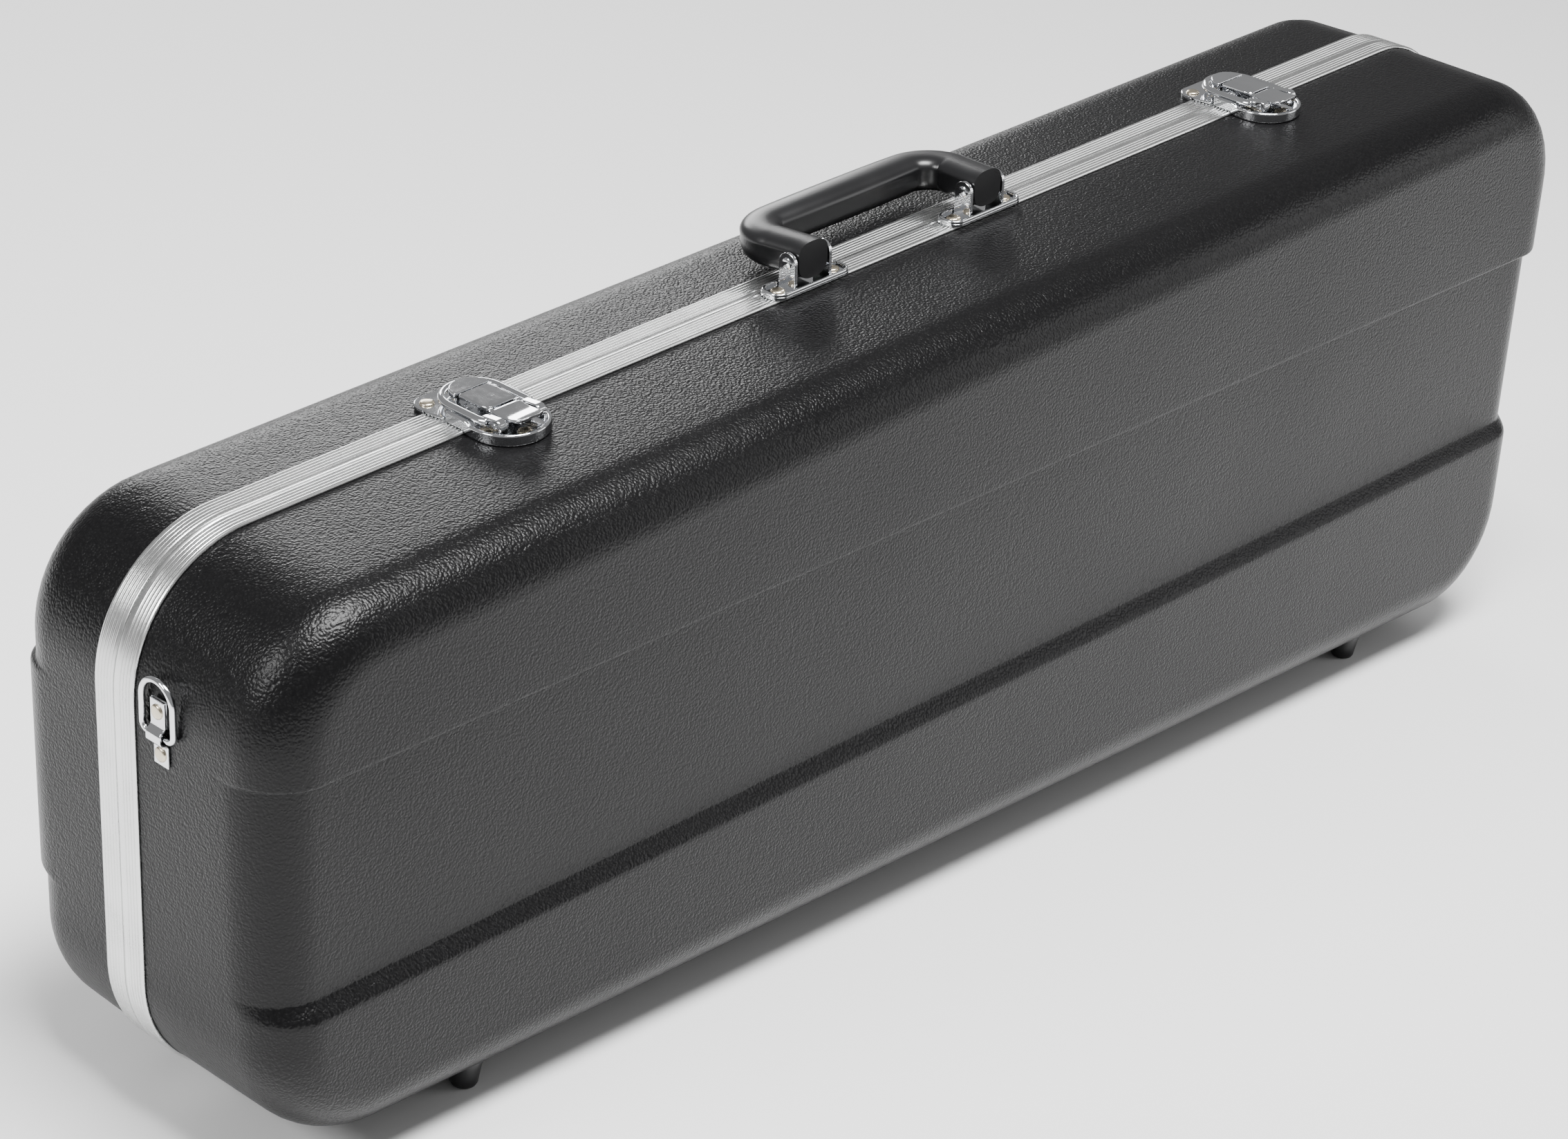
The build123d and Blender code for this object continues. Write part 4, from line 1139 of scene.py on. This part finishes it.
pillow(
    "pocket_cover", -1, (-0.160, 0.069), (0.158, 0.062), 0.0090, 0.0050, PLUSH, "pocket_lid",
    "plush_lining", ("pocket_lid",),
)
pillow(
    "neck_saddle", -1, (-0.057, 0.0), (0.030, 0.044), 0.0480, 0.0260, PLUSH, "base",
    "plush_lining", ("neck_block",),
)
for word, v in (("upper", 0.042), ("lower", -0.042)):
    pillow(
        f"bow_pouch_{word}", 1, (-0.250, v), (0.060, 0.024), 0.0450, 0.0088, STRAP, "lid",
        "strap_fabric", (f"bow_sleeve_{word}",), 0.5, 4,
    )

strap_line = [(-0.036, 0.0110), (-0.027, 0.0110), (-0.020, 0.0095), (-0.013, 0.0078), (0.0, 0.0070)]
strap_line += [(-v, d) for v, d in strap_line[:-1][::-1]]
strap_axes = (MIDDLE + ALONG * (-0.070), UP, -BACKWARD, ALONG)
band = Build().prism(strap_axes, sheet_profile(strap_line, 0.0012), 0, 0.026)
band_piece = band.piece("neck_band", STRAP, "base", "strap_fabric", ("neck_strap",), bevel=0.0003)
tab_axes = (MIDDLE + ALONG * (-0.160) + UP * 0.042, ALONG, UP, -BACKWARD)
tab = Build().prism(tab_axes, rounded(0.018, 0.016, 0.004, 6), 0.0054, 0.0064)
tab_piece = tab.piece("pocket_pull", STRAP, "pocket_lid", "strap_fabric", ("pocket_tab",), bevel=0.0003)

# ---- floor, lights and camera -----------------------------------------------------------------------
floor_mesh = bpy.data.meshes.new("floor")
FLOOR_HALF = 9
floor_corners = [(x * FLOOR_HALF, y * FLOOR_HALF, 0) for x, y in ((-1, -1), (1, -1), (1, 1), (-1, 1))]
floor_mesh.from_pydata(floor_corners, [], [(0, 1, 2, 3)])
floor_obj = bpy.data.objects.new("floor", floor_mesh)
bpy.context.scene.collection.objects.link(floor_obj)
floor_mat = material("pale_floor", (0.86, 0.86, 0.86), 0.8, spec=0.2)[0]
floor_mesh.materials.append(floor_mat)


def area(name, location, target, size, power, shape):
    """A rectangular lamp aimed at target; shape is its height over its width."""
    lamp = bpy.data.lights.new(name, "AREA")
    lamp.shape = "RECTANGLE"
    lamp.size, lamp.size_y = size, size * shape
    lamp.energy = power
    obj = bpy.data.objects.new(name, lamp)
    obj.location = location
    way = Vector(target) - Vector(location)
    obj.rotation_euler = way.to_track_quat("-Z", "Y").to_euler()
    bpy.context.scene.collection.objects.link(obj)


area("overhead", (-0.15, -0.5, 2.1), (0, 0, 0.1), 1.2, 120, 0.5)
area("key_left", (-2.4, 0.5, 1.7), (0, 0, 0.15), 0.9, 52, 0.9)
area("fill_right", (1.9, -1.7, 0.9), (0.1, 0, 0.1), 1.3, 12, 0.9)
area("back", (1.4, 2.6, 1.3), (0, 0, 0.25), 1.6, 40, 0.5)

world = bpy.data.worlds.new("studio")
bpy.context.scene.world = world
world.use_nodes = True
world.node_tree.nodes["Background"].inputs["Color"].default_value = (1.0, 1.0, 1.0, 1)
world.node_tree.nodes["Background"].inputs["Strength"].default_value = 0.30

# the camera's turn to the right from straight back, its tilt down and its roll
TURN, DOWN, ROLL = math.radians(48.39), math.radians(25.96), math.radians(4.88)
camera = bpy.data.cameras.new("camera")
camera.lens = 82.55
camera.sensor_width = 36.0
camera.clip_end = 50
camera_obj = bpy.data.objects.new("camera", camera)
bpy.context.scene.collection.objects.link(camera_obj)
bpy.context.scene.camera = camera_obj
forward = np.array(
    [math.sin(TURN) * math.cos(DOWN), math.cos(TURN) * math.cos(DOWN), -math.sin(DOWN)]
)
level = np.array([math.cos(TURN), -math.sin(TURN), 0.0])
upright = np.cross(level, forward)
right = level * math.cos(ROLL) + upright * math.sin(ROLL)
upward = -level * math.sin(ROLL) + upright * math.cos(ROLL)
rotation = Matrix([list(right), list(upward), list(-forward)]).transposed()
place_at = Vector((-1.0771 + SHIFT, -0.9134 + PART_Y, 0.7962))
camera_obj.matrix_world = Matrix.Translation(place_at) @ rotation.to_4x4()
